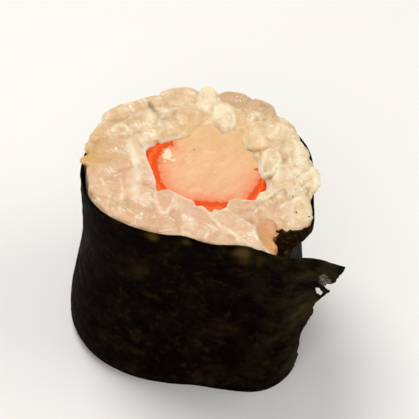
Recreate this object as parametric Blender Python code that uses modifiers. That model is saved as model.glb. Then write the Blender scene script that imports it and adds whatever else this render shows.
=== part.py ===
"""A cut piece of crab hosomaki, standing on its cut end, at its real size in metres.

Four pieces: the nori sheet, which goes round once and peels off at its loose end; the heap
of cooked rice inside it; the white crab stick; and the red layer on three of its sides.
The origin is on the roll's axis at the base. +X is the viewer's right, where the loose end
sticks out, +Y goes to the back and +Z is up. Bearings are in degrees, anticlockwise from
+X as seen from above.
"""

import math
import random

import bmesh
import bpy
from mathutils import Euler, Matrix, Vector

MM = 0.001

# The roll
HEIGHT = 25.5 * MM
ROLL_RADII = [r * MM for r in (  # of the rice's section, every 22.5 degrees
    13.3, 13.5, 13.5, 13.2, 13.1, 13.5, 13.8, 13.9, 13.7, 13.1, 11.9, 11.0, 10.9, 12.7, 14.2, 13.7)]
SLUMP = 0.6 * MM  # how far the foot of the roll spreads
SLUMP_LEFT = 1.6 * MM  # and how much further it does so on the left
SLUMP_TOP = 17 * MM  # height where the spreading starts
CORNER = 1.9 * MM  # how far the cut has drawn the roll's edge out at one corner
CORNER_BEARING, CORNER_SPREAD = 322, 15  # degrees
CORNER_DEPTH = 4.5 * MM  # height over which that fades out
FLARE = 1.2 * MM  # how much wider the right side is at the top than lower down
FLARE_TOP, FLARE_FOOT = HEIGHT - 1.5 * MM, HEIGHT - 6.5 * MM  # heights between which it narrows
FLARE_BEARING, FLARE_SPREAD = -12, 38  # degrees
GAP = 0.3 * MM  # between pieces that touch

# The nori sheet
NORI = 0.35 * MM
SHEET_START = -52  # bearing of the edge that lies inside
SHEET_LEAVES = 247.5  # bearing where the sheet leaves the roll at the top
LOOSE_DIRECTION = -12.5  # bearing in which the loose end runs at the top
DOUBLE_FROM, DOUBLE_TO = 284, 304  # bearings where it rises onto the sheet's inner end
RIPPLE, RIPPLE_LENGTH = 0.3 * MM, 8.2 * MM
TORN_LENGTHS = (  # height in mm, and length in mm from where the sheet leaves to its torn edge
    (0.0, 18.5), (3.0, 18.7), (6.0, 18.5), (8.9, 18.85), (11.2, 20.0), (13.8, 20.0), (16.1, 20.9),
    (18.3, 21.6), (20.1, 20.5), (21.5, 21.7), (25.5, 21.9))
TUCK = 1.5 * MM  # how far the sheet's inner end is tucked into the rice at the top
TUCK_FROM, TUCK_TO = 307, 324  # bearings
LOWEST_AT_BACK = 1.0 * MM  # how far the sheet's edge drops behind the rice
SHEET_STEPS_ROUND = 56
SHEET_STEPS_LOOSE = 18
SHEET_ROWS = 14

# The crab stick
STICK_CENTRE = Vector((0.7, 0.8, 0)) * MM
STICK_RADII = [r * MM for r in (  # of its section, every 30 degrees about its centre
    7.1, 7.3, 7.4, 7.2, 7.0, 8.0, 7.3, 7.1, 7.5, 7.8, 8.3, 8.3)]
STICK_DROP = 0.7 * MM  # how far its cut end lies below HEIGHT
STICK_STEPS = 72
RED_FROM, RED_TO = 118, 382  # bearings that the red layer covers
RED_DEPTHS = [d * MM for d in (  # how deep it reaches in from the section's outline, every 30 degrees
    1.2, 0.5, 0.5, 0.5, 0.5, 1.7, 2.3, 1.9, 2.2, 3.0, 3.1, 2.3)]
RED_STEPS = 108

# The rice
GRAIN_LENGTH, GRAIN_WIDTH, GRAIN_DEPTH = 5.4 * MM, 2.9 * MM, 2.4 * MM
GRAIN_SEGMENTS, GRAIN_RINGS = 6, 5
RICE_BED = 1.1 * MM  # how far the bed under the grains lies below HEIGHT
FOOT_BED = 0.5 * MM  # and above the base
OVERHANG = 1.8 * MM  # how far grains may lean out over the sheet's edge
BEHIND_LOOSE_END = 1.7 * MM  # how far the rice fills the space behind the sheet's loose end
RICE_SHOWS_TO = 305  # bearing up to which it does so
# Rows of grains: share of the way from stick to nori, count, and the most that a grain may turn
# from lying along the row, in degrees
GRAIN_ROWS = ((0.17, 15, 90), (0.50, 20, 90), (0.80, 25, 50))
# Grains that stand out in the middle of the view: x, y, height above the bed, yaw, pitch, size
LANDMARKS = (
    (3.1, 9.4, 0.95, 96, 6, 1.14),
    (0.8, 12.6, 0.9, 75, -6, 0.95),
    (-2.8, 12.3, 0.6, 5, 0, 1.20),
    (-2.1, 9.7, 0.3, 172, 0, 0.95),
    (-6.5, 8.3, 0.5, 95, -5, 1.12),
    (-10.0, 6.9, 0.6, 35, 5, 0.95),
    (6.6, 5.4, 0.5, 40, 5, 1.00),
    (8.7, 1.2, 0.7, 82, -4, 1.05),
    (8.6, -2.8, 0.5, 60, 6, 1.05),
    (12.0, 2.4, 0.7, 100, 0, 1.00),
    (13.0, -1.8, 0.9, 86, 0, 1.05),
    (7.6, -5.2, 0.8, 30, 0, 0.95),
    (-12.4, 1.5, 0.6, 15, -6, 1.00),
    (-4.2, -5.6, 0.4, 70, 0, 1.10),
    (0.3, -7.2, 0.5, 10, 0, 1.00),
    (4.4, -9.6, 0.3, 150, 0, 1.20),
    (10.6, 0.2, 0.3, 95, 0, 1.05),
    (10.8, -5.6, 0.5, 110, 8, 1.00),
    (9.6, 5.0, 0.4, 150, 0, 1.00),
)
LANDMARK_SPACING = 1.9 * MM
# The cleft in the cut face behind the sheet's inner edge
CLEFT_CENTRE = Vector((8.4, -11.2, 25.4)) * MM
CLEFT_SIZE = Vector((8.5, 2.6, 3.6)) * MM
CLEFT_BEARING = -55


def polar(bearing, radius, height=0.0):
    turn = math.radians(bearing)
    return Vector((radius * math.cos(turn), radius * math.sin(turn), height))


def smooth_step(low, high, value):
    share = min(1.0, max(0.0, (value - low) / (high - low)))
    return share * share * (3 - 2 * share)


def radius_at(radii, bearing):
    """Radius of a closed outline whose radii stand at equal steps, on one smooth curve."""
    place = (bearing % 360) / 360 * len(radii)
    index = int(place)
    t = place - index
    a, b, c, d = (radii[(index + k) % len(radii)] for k in (-1, 0, 1, 2))
    return b + 0.5 * t * (c - a + t * (2 * a - 5 * b + 4 * c - d + t * (3 * (b - c) + d - a)))


def rice_radius(bearing, height):
    """Radius of the rice's side: it spreads at the foot, and one corner of the top is drawn out."""
    to_left = max(0.0, -math.cos(math.radians(bearing))) ** 1.5
    spread = smooth_step(SLUMP_TOP, 1.5 * MM, height) - 0.25 * smooth_step(1.5 * MM, 0, height)
    to_corner = math.exp(-(((bearing % 360 - CORNER_BEARING) / CORNER_SPREAD) ** 2))
    drawn_out = CORNER * to_corner * smooth_step(HEIGHT - CORNER_DEPTH, HEIGHT, height)
    off_right = (bearing - FLARE_BEARING + 180) % 360 - 180
    drawn_in = FLARE * math.exp(-((off_right / FLARE_SPREAD) ** 4)) * smooth_step(FLARE_TOP, FLARE_FOOT, height)
    return radius_at(ROLL_RADII, bearing) + (SLUMP + SLUMP_LEFT * to_left) * spread + drawn_out - drawn_in


def tuck(bearing, height):
    """How far the sheet's inner end, and the rice with it, is tucked in from the roll's side."""
    turned = bearing % 360
    start = smooth_step(TUCK_TO, TUCK_FROM + 2, turned) * smooth_step(TUCK_FROM - 4, TUCK_FROM, turned)
    return TUCK * start * smooth_step(HEIGHT - 6 * MM, HEIGHT - 3 * MM, height)


def stick_radius(bearing):
    return radius_at(STICK_RADII, bearing)


def red_depth(bearing):
    return radius_at(RED_DEPTHS, bearing)


def sheet_top(bearing):
    """Height of the sheet's upper edge, a little uneven and lowest behind the rice."""
    to_back = 0.5 + 0.5 * math.sin(math.radians(bearing))
    wave = 0.16 * MM * math.sin(math.radians(3 * bearing + 40))
    return HEIGHT - LOWEST_AT_BACK * to_back ** 2 + wave


def along(points, distance):
    """The point at this distance along a line of points."""
    for start, end in zip(points, points[1:]):
        step = (end - start).length
        if distance <= step:
            return start.lerp(end, distance / step)
        distance -= step
    return points[-1] + (points[-1] - points[-2]).normalized() * distance


def loose_part(distance, height):
    """Plan of the sheet past SHEET_LEAVES: straight at the top, and round the roll at the foot."""
    offset = GAP + NORI / 2
    round_roll = [
        polar(b, rice_radius(b, height) + offset + (NORI + GAP) * smooth_step(DOUBLE_FROM, DOUBLE_TO, b))
        for b in (SHEET_LEAVES + 3 * k for k in range(40))
    ]
    turn = math.radians(LOOSE_DIRECTION)
    straight = round_roll[0] + Vector((math.cos(turn), math.sin(turn), 0)) * distance
    ripple = RIPPLE * math.sin(math.tau * distance / RIPPLE_LENGTH) * smooth_step(0, 3 * MM, distance)
    straight += Vector((-math.sin(turn), math.cos(turn), 0)) * ripple
    return along(round_roll, distance).lerp(straight, min(1.0, height / HEIGHT))


def torn_length(height):
    """Length of the loose part at this height: its end is torn, with a notch near the top."""
    for (low, start), (high, end) in zip(TORN_LENGTHS, TORN_LENGTHS[1:]):
        if height <= high * MM:
            return (start + (end - start) * (height / MM - low) / (high - low)) * MM
    return TORN_LENGTHS[-1][1] * MM


def new_object(name, mesh, collection, colour, roughness):
    """An object with a Principled material of its own."""
    material = bpy.data.materials.new(name)
    material.use_nodes = True
    shader = material.node_tree.nodes["Principled BSDF"]
    shader.inputs["Base Color"].default_value = (*colour, 1)
    shader.inputs["Roughness"].default_value = roughness
    shader.inputs["Metallic"].default_value = 0
    obj = bpy.data.objects.new(name, mesh)
    mesh.materials.append(material)
    collection.objects.link(obj)
    return obj


def mesh_from(bm, name):
    bmesh.ops.recalc_face_normals(bm, faces=bm.faces)
    mesh = bpy.data.meshes.new(name)
    bm.to_mesh(mesh)
    bm.free()
    return mesh


def grid_mesh(name, columns, rows, place):
    """An open sheet of quads, whose points place(column share, row share) gives."""
    bm = bmesh.new()
    bmesh.ops.create_grid(bm, x_segments=columns, y_segments=rows, size=0.5)
    for vertex in bm.verts:
        vertex.co = place(vertex.co.x + 0.5, vertex.co.y + 0.5)
    return mesh_from(bm, name)


def lofted_mesh(name, steps, levels, place):
    """A closed solid through rings of points: place(bearing, level index) gives each point."""
    bm = bmesh.new()
    rings = [
        [bm.verts.new(place(360 * k / steps, level)) for k in range(steps)]
        for level in range(levels)
    ]
    for lower, upper in zip(rings, rings[1:]):
        for k in range(steps):
            m = (k + 1) % steps
            bm.faces.new((lower[k], lower[m], upper[m], upper[k]))
    bm.faces.new(rings[0][::-1])
    bm.faces.new(rings[-1])
    bmesh.ops.triangulate(bm, faces=[f for f in bm.faces if len(f.verts) > 4])
    return mesh_from(bm, name)


def nori_sheet(collection):
    """The sheet: an open surface along its path, given its thickness by Solidify."""
    round_share = SHEET_STEPS_ROUND / (SHEET_STEPS_ROUND + SHEET_STEPS_LOOSE)

    def place(u, v):
        if u <= round_share:
            bearing = SHEET_START + (SHEET_LEAVES - SHEET_START) * u / round_share
            height = v * sheet_top(bearing)
            radius = rice_radius(bearing, height) - tuck(bearing, height) + GAP + NORI / 2
            return polar(bearing, radius, height)
        share = (u - round_share) / (1 - round_share)
        height = v * sheet_top(SHEET_LEAVES + 80 * share)
        point = loose_part(share * torn_length(height), height)
        point.z = height
        return point

    mesh = grid_mesh("nori_sheet", SHEET_STEPS_ROUND + SHEET_STEPS_LOOSE, SHEET_ROWS, place)
    mesh.shade_smooth()
    sheet = new_object("nori_sheet", mesh, collection, (0.012, 0.013, 0.009), 0.45)
    solidify = sheet.modifiers.new("Thickness", "SOLIDIFY")
    solidify.thickness = NORI
    solidify.offset = 0
    return sheet


def in_red(bearing, margin):
    """True where the red layer lies, widened by a margin in degrees."""
    return RED_FROM - margin <= bearing % 360 or (bearing % 360) <= RED_TO - 360 + margin


def white_stick(collection):
    """The stick's white flesh, which steps in where the red layer lies on it."""
    heights = (0, HEIGHT - STICK_DROP)

    def place(bearing, level):
        radius = stick_radius(bearing) - (red_depth(bearing) + GAP if in_red(bearing, 4) else 0)
        return STICK_CENTRE + polar(bearing, radius, heights[level])

    mesh = lofted_mesh("crab_stick", STICK_STEPS, len(heights), place)
    return new_object("crab_stick", mesh, collection, (0.83, 0.56, 0.34), 0.4)


def red_layer(collection):
    """The stick's red side: an uneven band bent round three of its sides."""
    heights = (0, HEIGHT - STICK_DROP)

    def place(turn, level):
        """The outline runs out along the band's outer side, then back along its inner side."""
        share = 1 - abs(1 - turn / 180)
        bearing = RED_FROM + (RED_TO - RED_FROM) * share
        radius = stick_radius(bearing) - (red_depth(bearing) if turn >= 180 else 0)
        return STICK_CENTRE + polar(bearing, radius, heights[level])

    mesh = lofted_mesh("crab_stick_red_layer", RED_STEPS, len(heights), place)
    return new_object("crab_stick_red_layer", mesh, collection, (0.86, 0.10, 0.02), 0.35)


def grain(name, collection, place, yaw, pitch, size):
    """One cooked grain: a long sphere with blunt ends, turned and put in place."""
    bm = bmesh.new()
    bmesh.ops.create_uvsphere(bm, u_segments=GRAIN_SEGMENTS, v_segments=GRAIN_RINGS, radius=0.5)
    turn = Euler((0, math.radians(90 + pitch), math.radians(yaw))).to_matrix().to_4x4()
    stretch = Matrix.Diagonal((GRAIN_DEPTH * size, GRAIN_WIDTH * size, GRAIN_LENGTH * size, 1))
    bmesh.ops.transform(bm, matrix=Matrix.Translation(place) @ turn @ stretch, verts=bm.verts)
    obj = bpy.data.objects.new(name, mesh_from(bm, name))
    collection.objects.link(obj)


def between(bearing, share, height):
    """A point on the cut face, this share of the way from the crab stick to the nori."""
    inner = STICK_CENTRE + polar(bearing, stick_radius(bearing))
    outer = polar(bearing, rice_radius(bearing, height))
    point = inner.lerp(outer, share)
    point.z = height
    return point


def spots_in_rows(draw, height):
    """Places for grains over a cut face: a name, a point at this height and a yaw for each."""
    for share, count, most in GRAIN_ROWS:
        for k in range(count):
            bearing = 360 * (k + draw.uniform(-0.3, 0.3)) / count
            spot = between(bearing, share + draw.uniform(-0.05, 0.05), height)
            yield f"{share}_{k}", spot, bearing + 90 + draw.uniform(-most, most)


def in_cleft(spot):
    away = Matrix.Rotation(-math.radians(CLEFT_BEARING), 3, "Z") @ (spot - CLEFT_CENTRE)
    return abs(away.x) < CLEFT_SIZE.x / 2 and abs(away.y) < CLEFT_SIZE.y / 2


def top_grains(collection):
    """The grains of the upper cut face: the landmarks, then rows that fill in round them."""
    bed = HEIGHT - RICE_BED
    landmarks = [Vector((x * MM, y * MM, bed + up * MM)) for x, y, up, _, _, _ in LANDMARKS]
    for number, (spot, landmark) in enumerate(zip(landmarks, LANDMARKS)):
        grain(f"landmark_{number}", collection, spot, *landmark[3:])
    draw = random.Random(7)
    for name, spot, yaw in spots_in_rows(draw, bed):
        spot.z += draw.uniform(0.1, 0.75) * MM
        pitch, size = draw.uniform(-18, 18), draw.uniform(0.88, 1.06)
        free = min((spot.xy - mark.xy).length for mark in landmarks) > LANDMARK_SPACING
        if free and not in_cleft(spot):
            grain(f"top_{name}", collection, spot, yaw, pitch, size)


def foot_grains(collection):
    """The grains of the lower cut face, which the board has pressed flat."""
    draw = random.Random(11)
    for name, spot, yaw in spots_in_rows(draw, 0.75 * MM):
        grain(f"foot_{name}", collection, spot, yaw, draw.uniform(-8, 8), 0.95)


def side_grains(collection):
    """The grains that show in the wedge behind the loose end, one below the other."""
    draw = random.Random(5)
    for k in range(6):
        bearing = RICE_SHOWS_TO - 3 + draw.uniform(-2, 2)
        height = HEIGHT - (2.5 + 3.4 * k) * MM
        spot = polar(bearing, rice_radius(bearing, height) + 0.4 * MM, height)
        grain(f"side_{k}", collection, spot, bearing + 90, draw.uniform(40, 90), 0.9)


def rice_bed():
    """The bed that carries the grains. Its side stands proud and is cut back to the sheet."""
    heights = (FOOT_BED, HEIGHT - RICE_BED)

    def place(bearing, level):
        return polar(bearing, rice_radius(bearing, heights[level]) + 2.2 * MM, heights[level])

    return lofted_mesh("rice", 48, len(heights), place)


def room_for_rice(collection):
    """What the sheet leaves to the rice: the roll's inside, and more above the sheet's edge."""
    stem = [h * MM for h in (0, 1.5, 4, 8, 12, 16, 19, 21, 23.2)]

    def loose_limit(bearing, height):
        path = [loose_part(k * 0.7 * MM, height) for k in range(30)]
        for point, following in zip(path, path[1:]):
            low, high = (math.degrees(math.atan2(p.y, p.x)) % 360 for p in (point, following))
            if low <= bearing <= high:
                share = (bearing - low) / (high - low)
                return point.lerp(following, share).length - NORI / 2 - GAP
        return rice_radius(bearing, height)

    def place(bearing, level):
        edge = sheet_top(bearing) + GAP
        height = (*stem, edge, edge, HEIGHT + 5 * MM)[level]
        measured = min(height, HEIGHT)
        limit = rice_radius(bearing, measured) - tuck(bearing, measured)
        if SHEET_LEAVES < bearing < RICE_SHOWS_TO:
            limit = min(limit + BEHIND_LOOSE_END, loose_limit(bearing, measured))
        if level > len(stem):
            limit += OVERHANG
        return polar(bearing, limit, height)

    mesh = lofted_mesh("room_for_rice", 96, len(stem) + 3, place)
    return cutter(bpy.data.objects.new("room_for_rice", mesh), collection)


def room_for_stick(collection):
    """The crab stick with a gap round it, which leaves grains that lie over its cut end."""
    heights = (-1 * MM, HEIGHT - STICK_DROP + GAP)

    def place(bearing, level):
        return STICK_CENTRE + polar(bearing, stick_radius(bearing) + GAP, heights[level])

    mesh = lofted_mesh("room_for_stick", STICK_STEPS, len(heights), place)
    return cutter(bpy.data.objects.new("room_for_stick", mesh), collection)


def cleft(collection):
    """The cleft as a long smooth hollow."""
    bm = bmesh.new()
    bmesh.ops.create_uvsphere(bm, u_segments=14, v_segments=8, radius=0.5)
    turn = Matrix.Rotation(math.radians(CLEFT_BEARING), 4, "Z")
    stretch = Matrix.Diagonal((*CLEFT_SIZE, 1))
    bmesh.ops.transform(bm, matrix=Matrix.Translation(CLEFT_CENTRE) @ turn @ stretch, verts=bm.verts)
    return cutter(bpy.data.objects.new("cleft", mesh_from(bm, "cleft")), collection)


def cutter(obj, collection):
    obj.hide_render = True
    obj.display_type = "WIRE"
    collection.objects.link(obj)
    return obj


def apply_modifiers(obj):
    """Replaces the object's mesh by what its modifiers make of it, without loose scraps."""
    graph = bpy.context.evaluated_depsgraph_get()
    mesh = bpy.data.meshes.new_from_object(obj.evaluated_get(graph))
    obj.modifiers.clear()
    bm = bmesh.new()
    bm.from_mesh(mesh)
    unseen, bodies = set(bm.verts), []
    while unseen:
        body, edge_of_body = set(), [unseen.pop()]
        while edge_of_body:
            vertex = edge_of_body.pop()
            body.add(vertex)
            near = {e.other_vert(vertex) for e in vertex.link_edges} & unseen
            unseen -= near
            edge_of_body.extend(near)
        bodies.append(body)
    bodies.sort(key=len)
    for scrap in bodies[:-1]:
        bmesh.ops.delete(bm, geom=list(scrap), context="VERTS")
    bmesh.ops.triangulate(bm, faces=bm.faces)
    bm.to_mesh(mesh)
    bm.free()
    obj.data = mesh


def rice_heap(collection, cutters):
    """The rice: grains fused onto a bed by one union, inside the sheet and round the stick."""
    grains = bpy.data.collections.new("grains")
    bpy.context.scene.collection.children.link(grains)
    top_grains(grains)
    foot_grains(grains)
    side_grains(grains)
    rice = new_object("rice", rice_bed(), collection, (0.86, 0.68, 0.47), 0.35)
    union = rice.modifiers.new("Grains", "BOOLEAN")
    union.operation = "UNION"
    union.operand_type = "COLLECTION"
    union.collection = grains
    union.solver = "MANIFOLD"
    apply_modifiers(rice)
    for obj in list(grains.objects):
        bpy.data.objects.remove(obj)
    bpy.data.collections.remove(grains)
    for name, operation, tool in (
        ("Inside the sheet", "INTERSECT", room_for_rice(cutters)),
        ("Round the stick", "DIFFERENCE", room_for_stick(cutters)),
        ("Cleft", "DIFFERENCE", cleft(cutters)),
    ):
        cut = rice.modifiers.new(name, "BOOLEAN")
        cut.operation = operation
        cut.object = tool
        cut.solver = "MANIFOLD"
    apply_modifiers(rice)
    return rice


def main():
    for obj in list(bpy.data.objects):
        bpy.data.objects.remove(obj)
    collection = bpy.data.collections.new("crab_hosomaki")
    cutters = bpy.data.collections.new("cutters")
    for group in (collection, cutters):
        bpy.context.scene.collection.children.link(group)
    nori_sheet(collection)
    white_stick(collection)
    red_layer(collection)
    rice_heap(collection, cutters)


main()
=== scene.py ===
"""Looks of a cut piece of crab hosomaki: moist sushi rice round a crab stick, in crinkled nori.

All sizes are in metres. +X is the viewer's right, +Y the back and +Z up. Bearings are in
degrees, anticlockwise from +X as seen from above.
"""

import math
import random

import bmesh
import bpy
import numpy as np
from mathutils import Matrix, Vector, noise
from mathutils.bvhtree import BVHTree


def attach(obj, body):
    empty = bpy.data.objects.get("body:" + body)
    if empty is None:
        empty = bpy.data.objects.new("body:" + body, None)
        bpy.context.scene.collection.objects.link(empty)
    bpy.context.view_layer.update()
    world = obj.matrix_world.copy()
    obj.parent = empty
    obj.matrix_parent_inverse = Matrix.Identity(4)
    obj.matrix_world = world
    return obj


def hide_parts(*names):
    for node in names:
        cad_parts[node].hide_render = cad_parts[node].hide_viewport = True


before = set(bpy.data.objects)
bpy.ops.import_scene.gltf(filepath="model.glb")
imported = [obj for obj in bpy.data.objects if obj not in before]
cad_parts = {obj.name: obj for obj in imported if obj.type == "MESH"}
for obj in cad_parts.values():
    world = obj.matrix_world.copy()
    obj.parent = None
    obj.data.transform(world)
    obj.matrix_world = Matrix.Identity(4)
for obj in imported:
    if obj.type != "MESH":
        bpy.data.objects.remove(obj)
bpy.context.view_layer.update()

MM = 0.001

# The roll, as the solids have it
HEIGHT = 25.5 * MM
ROLL_RADII = np.array((  # of the rice's section, every 22.5 degrees
    13.3, 13.5, 13.5, 13.2, 13.1, 13.5, 13.8, 13.9,
    13.7, 13.1, 11.9, 11.0, 10.9, 12.7, 14.2, 13.7)) * MM
SLUMP, SLUMP_LEFT = 0.6 * MM, 1.6 * MM  # how far the roll spreads at the foot, and how much more at the left
SLUMP_TOP = 17 * MM  # height where it starts to
CORNER, CORNER_DEPTH = 1.7 * MM, 4.5 * MM  # how far the top's front right is drawn out, and from how far down
CORNER_BEARING, CORNER_SPREAD = 322, 15
FLARE = 1.2 * MM  # how much wider the right side is at the top than lower down
FLARE_TOP, FLARE_FOOT = HEIGHT - 1.5 * MM, HEIGHT - 6.5 * MM
FLARE_BEARING, FLARE_SPREAD = -12, 38

# The nori sheet
SHEET_PITCH = 0.475 * MM  # from the rice's side to the middle of the sheet
SHEET_THICKNESS = 0.24 * MM
LAYER = 0.65 * MM  # how far the loose end rises onto the sheet's inner end
SHEET_START, SHEET_LEAVES = -52, 247.5
LOOSE_LENGTH = 21.9 * MM
TORN_LENGTHS = np.array((  # height, and how far the torn end reaches there
    (0.0, 18.6), (1.5, 18.2), (3.0, 18.9), (4.5, 18.3), (6.0, 18.7), (7.5, 18.3), (8.9, 18.85), (9.7, 19.3),
    (10.4, 19.6), (11.2, 19.85), (11.7, 20.3), (12.9, 20.25), (13.8, 19.9), (15.1, 20.35), (16.1, 20.85),
    (16.8, 21.35), (17.6, 21.6), (18.3, 21.7), (19.2, 21.1), (20.2, 20.4), (20.5, 21.35), (21.2, 21.75),
    (22.4, 21.55), (23.4, 21.65), (24.6, 21.95), (25.5, 21.9))) * MM
HOLES = (  # holes near the torn end: how far along and how high, half sizes, and lean in degrees
    (20.15, 17.6, 0.50, 1.35, 28),
    (21.0, 18.9, 0.26, 1.2, 36),
    (19.5, 18.6, 0.2, 0.45, 60))
FILM = (20.3, 21.0, 0.95, 1.9, 20)  # where the sheet is torn to a thin film, as a hole is given
WORN_SPOTS = (  # where it is rubbed brown in front: x, height, radius and strength
    (5.2, 24.3, 0.9, 0.6), (7.3, 23.9, 0.6, 0.3), (-5.3, 25.0, 0.6, 0.45), (-1.5, 24.9, 0.4, 0.3),
    (13.4, 13.6, 1.6, 0.22), (-7.0, 18.6, 1.0, 0.12))
START_RISE = 0.7 * MM  # how far the sheet's inner end stands up above the rest
CRUMPLED = 22  # degrees of the sheet's inner end that are crumpled
LOOSE_DIRECTION = -12.5  # in which the loose end leaves the roll at the top
DOUBLE_FROM, DOUBLE_TO = 284, 304  # bearings between which it climbs onto the inner end
RIPPLE, RIPPLE_LENGTH = 0.3 * MM, 8.2 * MM  # of the loose end
LOWEST_AT_BACK = 1.0 * MM  # how far the upper edge comes down behind the rice
SHEET_STEP, SHEET_ROW, FRAYED_STEP = 0.4 * MM, 0.2 * MM, 0.12 * MM  # size of the sheet's faces
FRAYED = 3.6 * MM  # length of its torn end that has finer ones

# The crab stick
STICK_CENTRE = np.array((0.7, 0.8)) * MM
STICK_RADII = np.array((7.1, 7.3, 7.4, 7.2, 7.0, 8.0, 7.3, 7.1, 7.5, 7.8, 8.3, 8.3)) * MM
STICK_TOP = HEIGHT - 0.5 * MM
RIM_RISE, RIM_WIDTH = 0.42 * MM, 1.5 * MM  # of the flesh at the back, where the rice runs into it
PALE_PATCHES = (  # x, y, half sizes and strength of paler bits of flesh
    (-3.86, 3.6, 0.5, 1.15, 1.0), (-3.0, 2.6, 0.32, 0.3, 1.0), (1.5, 4.0, 0.8, 0.3, 0.25),
    (-1.2, 2.8, 0.5, 0.9, 0.3), (-0.2, 0.6, 0.7, 0.4, 0.25), (2.6, 1.8, 0.8, 0.4, 0.25),
    (-0.4, -2.6, 0.9, 0.4, 0.25))
UNDER_RED = 0.25 * MM  # how far short of the stick's outline the flesh stays under the red layer
RED_LIES_IN = 0.09 * MM  # how far flesh and red layer dip where they meet at the cut
RICE_OVER_STICK = (  # bearing, and how far the rice lies over the stick there
    (0, 0.6), (7, 0.5), (14, 0.6), (19, 1.1), (26, 1.35), (34, 1.3), (43, 1.05), (49, 0.4), (54, 0),
    (59, -0.4), (61, -0.4), (62.5, -0.1), (65, 0.3), (70, 0.8), (75, 0.5), (79, 0.1), (82, -0.3),
    (86, -0.3), (90, 0), (97, 0.2), (103, 0.45), (109, 0.75), (114, 0.7), (120, 0.6), (128, 0.55),
    (135, 0.6), (141, 0.55), (147, 0.25), (152, 0), (157, 0.1), (167, 0.6), (187, 1), (201, 0.8),
    (211, 0.5), (217, 1.5), (225, 1.8), (240, 1.9), (257, 1.9), (261, 1.5), (269.5, 1.25), (273.5, 0.5),
    (276, -0.7), (278, 0.6), (281, 1.05), (284, 1.05), (289, 0.9), (292, 1.1), (297, 2), (306, 2.1),
    (310, 1.7), (314, 0.9), (318, 0.2), (321, 0.3), (326, 0.6), (330, 0.45), (333, 0), (343, 0),
    (349, 0.5), (360, 0.6))
RED_FROM, RED_TO = 118, 378  # bearings of the red layer's ends
RED_DEPTHS = np.array((  # how deep it reaches in from the section's outline, every 30 degrees
    0.85, 0.4, 0.4, 0.4, 1.0, 2.2, 2.05, 2.0, 2.2, 3.0, 2.5, 1.85)) * MM
RED_TEETH = (  # bearing, depth and half width in degrees of the teeth on its inner side
    (131, 0.5, 5), (143, -0.3, 4), (152, 0.15, 2.5), (158, 0.2, 2), (167, 0.25, 2.5), (176, 0.15, 2),
    (184, 0.3, 2.5), (193, 0.2, 3), (245, 0.2, 4), (259, 0.25, 3), (272, 0.15, 3), (286, 0.25, 3),
    (298, 0.15, 4), (314, -0.7, 9), (325, 0.15, 2.5), (334, 0.2, 3), (342, 0.1, 2.5), (350, -0.4, 5),
    (362, 0.75, 3.5))

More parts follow.
